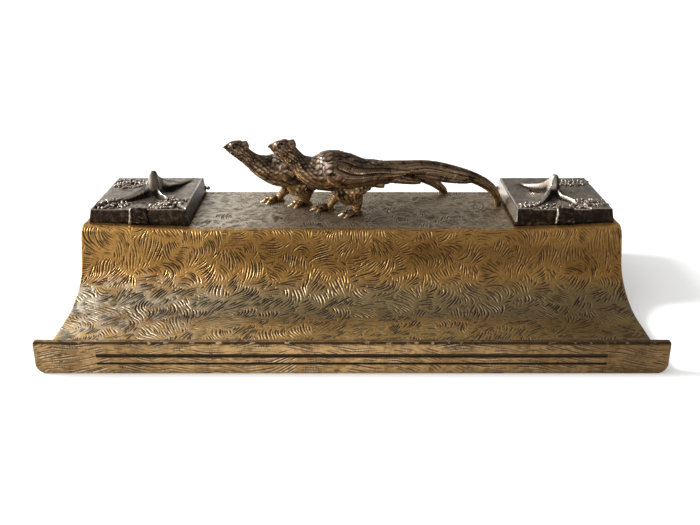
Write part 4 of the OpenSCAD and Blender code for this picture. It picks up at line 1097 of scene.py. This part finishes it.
def lid_mesh(name, side, shape, clusters, shade, rim, rng):
    """A lid: draped top, rough sides, and the wall and roof inside. shade is how dark the
    sides are, deeper on the right lid as painted shade away from the window, and rim how
    bright the top's edge is. The top's grid comes back too, for the sprigs to sit on."""
    x, y = np.meshgrid(np.arange(-TOP_HALF, TOP_HALF + 0.01, 2 * TOP_HALF / round(2 * TOP_HALF / LID_STEP)),
                       np.linspace(TOP_FRONT, TOP_BACK, round((TOP_BACK - TOP_FRONT) / LID_STEP)))
    height = drape(x, y, **shape, rng=rng)
    # The cloth dips below the flowers, and is dark there
    shelter = np.max([np.clip(4.4 - 4 * np.hypot(*in_cluster(x, y, c)), 0, 1) for c in clusters], 0)
    shelter = shelter * np.clip(soft_noise(x.shape, 5, rng) * 0.5 + 0.7, 0, 1)
    height = height - 0.5 * shelter
    top = np.stack([x, y, LID_TOP + height], -1)
    loop = lid_loop(*x.shape)
    edge = top.reshape(-1, 3)[loop]
    foot_y = (edge[:, 1] - TOP_BACK) * LID_D / (TOP_BACK - TOP_FRONT) + TOP_BACK
    foot = np.stack([edge[:, 0] * LID_W / 2 / TOP_HALF, foot_y, np.full(len(loop), LID_Z)], -1)
    foot[:, 2] += NOTCH_H * ((np.abs(foot[:, 0]) < NOTCH_HALF) & (foot[:, 1] > TOP_BACK - 0.01))
    inside = foot * (1 - 2 * LID_WALL / LID_W, 1 - 2 * LID_WALL / LID_D, 1)
    roof = np.where([False, False, True], LID_UNDER, inside)
    rough = 0.1 * soft_noise((SIDE_RINGS + 1, len(loop)), 3, rng)
    rings = []
    for k in range(1, SIDE_RINGS + 1):
        ring = edge + (foot - edge) * k / SIDE_RINGS
        ring[:, :2] *= 1 - (0.0004 if k == SIDE_RINGS else 0.003) * (0.5 + rough[k])[:, None]
        rings.append(ring)
    rings += [inside, roof]
    points = np.vstack([top.reshape(-1, 3), *rings])
    faces = grid_faces(np.arange(x.size).reshape(x.shape))
    above = loop
    for below in np.arange(x.size, len(points)).reshape(len(rings), -1):
        faces += np.stack([above, below, np.roll(below, -1), np.roll(above, -1)], -1).tolist()
        above = below
    faces.append(above[::-1].tolist())
    if side < 0:
        faces = [face[::-1] for face in faces]
    mesh = new_mesh(name, on_lid(points, side), faces)
    # Crests are rubbed and creases dark, less so up on the finial and the high folds
    proud = height - blur(height, 5)
    fine = height - blur(height, 2)
    calm = 1 - 0.7 * np.clip(height - 2.5, 0, 1)
    rubbed = np.clip(proud / 0.45 + fine / 0.15, 0, 1) * calm * (1 - shelter)
    hollow = np.maximum(np.clip(-proud / 0.5 - fine / 0.2, 0, 1) * calm, 0.75 * shelter)
    # Each finial has a painted highlight on the left, where the window is, and painted shade on the right
    lean = shape["lean"]
    ball = (height > 3.5) & (np.abs(x - lean) < 5)
    if side < 0:
        rubbed[ball & (x > lean + 2.2)] = 0.85
        hollow[ball & (x < lean + 1.2)] = 0.55
    else:
        rubbed[ball & (x < lean + 0.2)] = 0.85
        rubbed[ball & (x > lean + 1.2)] = 0.0
        hollow[ball & (x > lean + 1.2)] = 1.0
    values = np.zeros((2, len(points)))
    values[:, :x.size] = rubbed.ravel(), hollow.ravel()
    values[0, loop] = rim
    # The sides take shade as their hollow value, with random stains; the right lid's deeper value is painted
    # shade, as it stands farther from the window
    stains = np.resize(soft_noise((SIDE_RINGS + 1, len(loop)), 4, rng), len(points) - x.size)
    values[1, x.size:] = np.clip(shade + 0.12 * stains, 0, 1)
    upright = np.arange(len(points)) >= x.size
    if side > 0:
        # The right lid's inner side faces the window and gets a painted highlight
        values[:, upright & (points[:, 0] < 1.6 - LID_W / 2)] = [[0.75], [0.0]]
    add_values(mesh, rubbed=values[0], hollow=values[1], upright=upright.astype(float))
    return mesh, top


def tube_faces(at):
    """Faces round the rows of a grid of vertex numbers, and one on each of its ends."""
    after = np.roll(at, -1, 1)
    faces = np.stack([at[:-1], at[1:], after[1:], after[:-1]], -1).reshape(-1, 4).tolist()
    return faces + [at[0].tolist(), at[-1][::-1].tolist()]


def strap_mesh(name, side, rng):
    """The strap: a flat loft over the lid's front edge, rough, with one rolled edge."""
    front = -LID_D / 2
    path = along([[front + 2.6, 0, LID_TOP - 0.9, 0.6, 5.6], [front + 1.3, 0, LID_TOP - 0.4, 0.8, 5.8],
                  [front - 0.2, 0, LID_TOP - 1.2, 0.85, 5.9], [front - 0.6, 0, LID_TOP - 3.5, 0.85, 6.0],
                  [front - 0.8, 0, LID_Z + 3, 0.85, 6.3], [front - 0.95, 0, LID_Z + 1.4, 0.85, 6.5],
                  [front - 1.15, 0, LID_Z - 0.2, 0.85, 6.7], [front - 1.3, 0, LID_Z - 0.7, 0.5, 6.7]],
                 np.linspace(0, 1, 52))
    run = np.gradient(path[:, :3], axis=0)
    run /= np.linalg.norm(run, axis=1, keepdims=True)
    across = np.linspace(-1, 1, 44)
    wide = np.concatenate([across, across[-2:0:-3]])
    thick = np.sqrt(1 - np.abs(wide) ** 6) * np.where(np.arange(len(wide)) < len(across), 1, -1)
    rolled = 0.55 * np.exp(-((np.clip(-side * wide, 0, 1) - 0.9) / 0.09) ** 2)
    knots = sum(deep * soft_noise((len(path), len(wide)), reach, rng)
                for deep, reach in ((0.1, 7), (0.13, 2)))
    folds = 1 + 0.2 * np.cos(wide * 7.2 + 0.4) + rolled + knots * (np.abs(wide) < 0.97)
    thick = path[:, 3:4] * thick * folds
    points = np.stack([path[:, 4:] * wide[None, :], path[:, :1] - run[:, 2:] * thick,
                       path[:, 2:3] + run[:, :1] * thick], -1)
    faces = tube_faces(np.arange(thick.size).reshape(thick.shape))
    if side > 0:
        faces = [face[::-1] for face in faces]
    mesh = new_mesh(name, on_lid(points, side), faces)
    add_values(mesh, rubbed=np.clip(rolled * 2.2 + 2.5 * np.clip(knots, 0, 1) - 0.1, 0, 1),
               hollow=np.clip(0.75 - 2.5 * knots - 3 * rolled, 0, 1), upright=np.ones_like(knots))
    return mesh


def cameo(name, outline, profile):
    """A small closed relief, round its middle: outline() gives its radius in a direction,
    and profile() its height at a share of that radius."""
    sides = 20
    turn = np.arange(sides) * 2 * math.pi / sides
    share = np.array([0.12, 0.35, 0.6, 0.85, 1.0])[:, None]
    r = share * outline(turn)
    high = profile(share, turn)
    rings = np.stack([r * np.cos(turn), r * np.sin(turn), high], -1)
    low = rings[-1] * (1, 1, 0) - (0, 0, 0.9)
    points = np.vstack([rings.reshape(-1, 3), low])
    mesh = new_mesh(name, points, tube_faces(np.arange(len(points)).reshape(-1, sides)))
    mesh.shade_smooth()
    share = high / high.max()
    add_values(mesh, rubbed=np.clip(share * 1.6 - 0.9, 0, 1), hollow=np.clip(1.2 - 2.4 * share, 0, 1))
    return add_object(name, mesh)


def motifs():
    """An open flower of five petals, a pointed leaf with its midrib, and a berry."""
    def petal(turn):
        return np.abs(np.cos(2.5 * turn)) ** 0.7

    def cup(t, a):
        return 0.15 + (0.8 + 0.6 * petal(a)) * np.clip(t / 0.5, 0, 1) ** 3 * (1.15 - t ** 3)

    flower = cameo("flower", lambda a: 3.5 * (0.5 + 0.5 * petal(a)), cup)
    leaf = cameo("leaf", lambda a: 0.9 + 2.3 * np.abs(np.cos(a)) ** 3,
                 lambda t, a: 1.1 * (1 - t ** 2) + 0.35 * t * np.abs(np.sin(a)) + 0.1)
    berry = cameo("berry", lambda a: 1.15 + 0 * a, lambda t, a: 1.5 * np.sqrt(1.02 - t ** 2) + 0 * a)
    return flower, leaf, berry


def sprig_tree():
    """Geometry nodes: sets a flower, leaf or berry on each point, turned and tilted at random."""
    tree = bpy.data.node_groups.new("sprigs", "GeometryNodeTree")
    sockets = {"Points": "Geometry", "Flower": "Object", "Leaf": "Object", "Berry": "Object",
               "Tilt": "Float", "Smallest": "Float", "Seed": "Int", "Metal": "Material"}
    ids = {name: tree.interface.new_socket(name, in_out="INPUT", socket_type="NodeSocket" + kind).identifier
           for name, kind in sockets.items()}
    tree.interface.new_socket("Sprigs", in_out="OUTPUT", socket_type="NodeSocketGeometry")
    g = Nodes(tree)

    def given(name):
        return g.node("NodeGroupInput", {}, {}, out=name)

    tilt, seed = given("Tilt"), given("Seed")
    least = g.node("ShaderNodeCombineXYZ", {}, {0: tilt * -1.0, 1: tilt * -1.0, 2: 0.0})
    most = g.node("ShaderNodeCombineXYZ", {}, {0: tilt, 1: tilt, 2: 2 * math.pi})
    turn = g.node("FunctionNodeRandomValue", {"data_type": "FLOAT_VECTOR"}, {0: least, 1: most, "Seed": seed})
    size = g.node("FunctionNodeRandomValue", {"data_type": "FLOAT"},
                  {2: given("Smallest"), 3: 1.0, "Seed": seed}, out=1)
    kind = g.node("GeometryNodeInputNamedAttribute", {"data_type": "INT"}, {"Name": "kind"})
    grown = []
    for number, name in enumerate(("Flower", "Leaf", "Berry")):
        motif = g.node("GeometryNodeObjectInfo", {}, {"Object": given(name)}, out="Geometry")
        this = g.node("FunctionNodeCompare", {"data_type": "INT", "operation": "EQUAL"}, {2: kind, 3: number})
        grown.append(g.node("GeometryNodeInstanceOnPoints", {}, {
            "Points": given("Points"), "Selection": this, "Instance": motif, "Rotation": turn,
            "Scale": size}))
    joined = g.node("GeometryNodeJoinGeometry", {}, {0: grown})
    solid = g.node("GeometryNodeRealizeInstances", {}, {0: joined})
    metal = g.node("GeometryNodeSetMaterial", {}, {0: solid, "Material": given("Metal")})
    g.node("NodeGroupOutput", {}, {0: metal})
    return tree, ids


def sprig_points(name, side, top, clusters, rng):
    """Where the flowers, leaves and berries of one lid sit, on the cloth. A cluster is its
    middle, half its length and width, its turn in degrees and its number of flowers."""
    places, kinds = [], []
    half_w, half_d = TOP_HALF - 2.2, LID_D / 2 - 2.4
    for cluster in clusters:
        (cx, cy), (a, b), _, flowers = cluster
        taken = []
        spots = rng.uniform(-1, 1, (900, 2)) * max(a, b)
        spots[0] = 0
        for x, y in spots + (cx, cy):
            u, v = in_cluster(x, y, cluster)
            gap = 4 if len(taken) < flowers else 2.2
            if math.hypot(u, v) > 1 or abs(x) > half_w or abs(y) > half_d:
                continue
            if any(math.hypot(x - p, y - q) < max(gap, g) for p, q, g in taken):
                continue
            kinds.append(0 if len(taken) < flowers else 1 + int(rng.random() < 0.45))
            flower = kinds[-1] == 0
            taken.append((x, y, 3.2 if flower else 0))
            i = round((y - top[0, 0, 1]) / (top[1, 0, 1] - top[0, 0, 1]))
            j = round((x - top[0, 0, 0]) / (top[0, 1, 0] - top[0, 0, 0]))
            places.append(on_lid(np.array([x, y, top[i, j, 2] + rng.uniform(0, 0.5) + 0.5 * flower]), side))
    mesh = new_mesh(name, places, [])
    mesh.attributes.new("kind", "INT", "POINT").data.foreach_set("value", kinds)
    return mesh


def add_lid(word, side, shape, clusters, shade, rim, seed):
    rng = np.random.default_rng(seed)
    cover, bronze = word + "_cover", DARK_BRONZE
    mesh, top = lid_mesh(word + "_lid_draped", side, shape, clusters, shade, rim, rng)
    add_piece(mesh, bronze, cover, [word + "_lid"])
    mesh.set_sharp_from_angle(angle=math.radians(50))
    add_piece(strap_mesh(word + "_lid_strap", side, rng), bronze, cover)
    points = sprig_points(word + "_lid_growth", side, top, clusters, rng)
    growing = add_object(points.name + "_points", points)
    modifier = growing.modifiers.new("sprigs", "NODES")
    modifier.node_group = SPRIGS
    inputs = dict(zip(("Flower", "Leaf", "Berry"), MOTIFS), Tilt=0.3, Smallest=0.72, Seed=seed, Metal=bronze)
    for name, value in inputs.items():
        modifier[SPRIG_INPUTS[name]] = value
    grown = bpy.data.meshes.new_from_object(growing.evaluated_get(bpy.context.evaluated_depsgraph_get()))
    bpy.data.objects.remove(growing)
    grown.name = word + "_lid_sprigs"
    add_piece(grown, bronze, cover)


def dark_patina():
    """Brown-grey, near black in the hollows and on the upright faces, pale where worn. The
    hollow and rubbed values also carry painted shade and painted highlights, as on the finials.
    """
    f = Finish("dark_patina")
    rubbed, hollow = f.attribute("rubbed"), f.attribute("hollow")
    cloud, grain = f.noise(70, 4), f.noise(1100, 3)
    scratch = f.noise(300, 5, 0.7, 0.6)
    colour = f.mix(cloud.between(0.3, 0.7), (0.24, 0.2, 0.16), (0.45, 0.38, 0.31))
    colour = f.mix(scratch.between(0.55, 0.75) * 0.6, colour, (0.32, 0.255, 0.19))
    side = f.mix(scratch.between(0.45, 0.6), (0.03, 0.018, 0.011), (0.15, 0.09, 0.052))
    colour = f.mix(f.attribute("upright") * 0.95, colour, side)
    worn = (rubbed * 1.3 - 0.2).clamp() * grain.between(0.2, 0.5)
    colour = f.mix(worn, colour, (0.78, 0.7, 0.6))
    black = f.mix(scratch.between(0.5, 0.7), (0.014, 0.009, 0.006), (0.07, 0.042, 0.025))
    colour = f.mix((hollow * 1.1).clamp(), colour, black)
    rough = 0.38 - worn * 0.14 + hollow * 0.14 + (grain - 0.5) * 0.12
    return f.surface(Base_Color=colour, Roughness=rough, Metallic=0.96 - hollow * 0.12,
                     Normal=f.bump(grain * 0.5 + scratch * 0.5, 0.00014, 0.7))


DARK_BRONZE = dark_patina()
MOTIFS = motifs()
SPRIGS, SPRIG_INPUTS = sprig_tree()
# The right lid, farther from the window, gets deeper painted shade on its sides
add_lid("left", -1, seed=5, shade=0.62, rim=0.25,
        shape=dict(lean=-3.4, tall=15.6, hem=1.1, folds=(
            ((17.6, -18.0), 9.0, 1.7), ((-13.5, -13.0), 2.6, 1.2), ((-23.5, 34.0), 13.0, 1.9))),
        clusters=(((18.8, 20.5), (12, 10.5), 0, 1), ((20.5, -23.5), (12.5, 7), -20, 1),
                  ((-16.5, -22.5), (14, 6.8), -28, 2)))
add_lid("right", 1, seed=8, shade=0.85, rim=0.4,
        shape=dict(lean=0.0, tall=13.0, hem=0.7, folds=(
            ((10.0, -20.5), 1.6, 1.0), ((-13.0, -22.0), 6.5, 1.3), ((-19.0, 25.0), 12.0, 2.2))),
        clusters=(((15.5, 23), (13.5, 7.5), -8, 1), ((19.5, -23), (13.5, 6), 6, 1),
                  ((-14, -28), (15, 4.5), 6, 1)))
for motif in MOTIFS:
    bpy.data.objects.remove(motif)


# Wells, hinges and fixings
# Under each lid a cast frame holds a clear glass pot. The frame, its hinge pin, the
# brass leaf riveted into the lid, the screws and the birds' nuts are the plain pieces.
def black_patina():
    """The frames' casting skin, nearly black, with brown high spots."""
    f = Finish("black_patina")
    cloud, grain = f.noise(240, 4), f.noise(1200, 2)
    colour = f.mix(cloud.between(0.5, 0.7), (0.016, 0.011, 0.008), (0.12, 0.082, 0.05))
    return f.surface(Base_Color=colour, Roughness=0.45 + grain * 0.2, Metallic=0.8,
                     Normal=f.bump(grain, 0.0001, 0.5))


def aged_brass():
    """Turned brass, browned in patches, with fine marks."""
    f = Finish("aged_brass")
    cloud, grain = f.noise(160, 3), f.noise(1600, 2)
    colour = f.mix(cloud.between(0.35, 0.65), (0.42, 0.29, 0.1), (0.62, 0.46, 0.2))
    colour = f.mix(grain.between(0.5, 0.8) * 0.5, colour, (0.2, 0.13, 0.05))
    return f.surface(Base_Color=colour, Roughness=0.3 + grain * 0.15, Metallic=0.97,
                     Normal=f.bump(grain, 0.00005, 0.4))


def clear_glass():
    """Pressed glass with a faint green tint and the waves of its mould."""
    f = Finish("clear_glass")
    wave = f.noise(90, 2)
    colour = f.mix(wave, (0.86, 0.95, 0.93), (0.93, 0.98, 0.97))
    return f.surface(Base_Color=colour, Roughness=0.04 + wave * 0.05, IOR=1.5, Transmission_Weight=1.0,
                     Normal=f.bump(wave, 0.0003, 0.3))


def finish_nodes(material, *ends):
    """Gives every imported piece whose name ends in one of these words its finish."""
    for name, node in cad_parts.items():
        if name.endswith(ends):
            coat(node.data, material)


finish_nodes(black_patina(), "well_frame")
finish_nodes(DARK_BRONZE, "hinge_pin", "_lid")
finish_nodes(aged_brass(), "screws", "leaf", "rivets", "studs", "washers", "nuts")
finish_nodes(clear_glass(), "ink_pot")
finish_nodes(BIRD_BRONZE, "pheasant")


# Desk
# A plain white sheet of paper that runs past the view, with soft white light round it.
# The sheet glows a little, so that it stays white up to the top of the view.
PAPER_REACH, PAPER_GLOW = 6.0, 0.42
# The room: its light's strength, where it is brightest, and its brightness from the
# dark side, 0, to the bright side, 1
ROOM_STRENGTH, WINDOW_SIDE = 1.3, (-0.5, 0.05, 0.0)
ROOM = ((0.3, 0.17), (0.45, 0.2), (0.55, 0.32), (0.65, 0.62), (0.85, 1.0))


def white_paper():
    f = Finish("white_paper")
    white = f.mix(f.noise(30), (0.86, 0.86, 0.86), (0.9, 0.9, 0.9))
    return f.surface(Base_Color=white, Roughness=0.8, Emission_Color=white, Emission_Strength=PAPER_GLOW)


def add_paper():
    corners = [(-1, -1, 0), (1, -1, 0), (1, 1, 0), (-1, 1, 0)]
    mesh = new_mesh("floor", corners, [(0, 1, 2, 3)], unit=PAPER_REACH)
    coat(mesh, white_paper())
    add_object("floor", mesh)


def light_room():
    """Brightest at the left, where the window is, and dim at the right and in front."""
    world = bpy.data.worlds.new("room")
    bpy.context.scene.world = world
    world.use_nodes = True
    room = Nodes(world.node_tree)
    way = room.node("ShaderNodeTexCoord", {}, {}, out="Generated")
    facing = room.node("ShaderNodeVectorMath", {"operation": "DOT_PRODUCT"},
                       {0: way, 1: WINDOW_SIDE}, out="Value")
    grey = room.node("ShaderNodeValToRGB", {"stops": ROOM}, {0: facing + 0.5})
    light = room.node("ShaderNodeBackground", {}, {"Color": grey, "Strength": ROOM_STRENGTH})
    room.node("ShaderNodeOutputWorld", {}, {"Surface": light})


add_paper()
light_room()
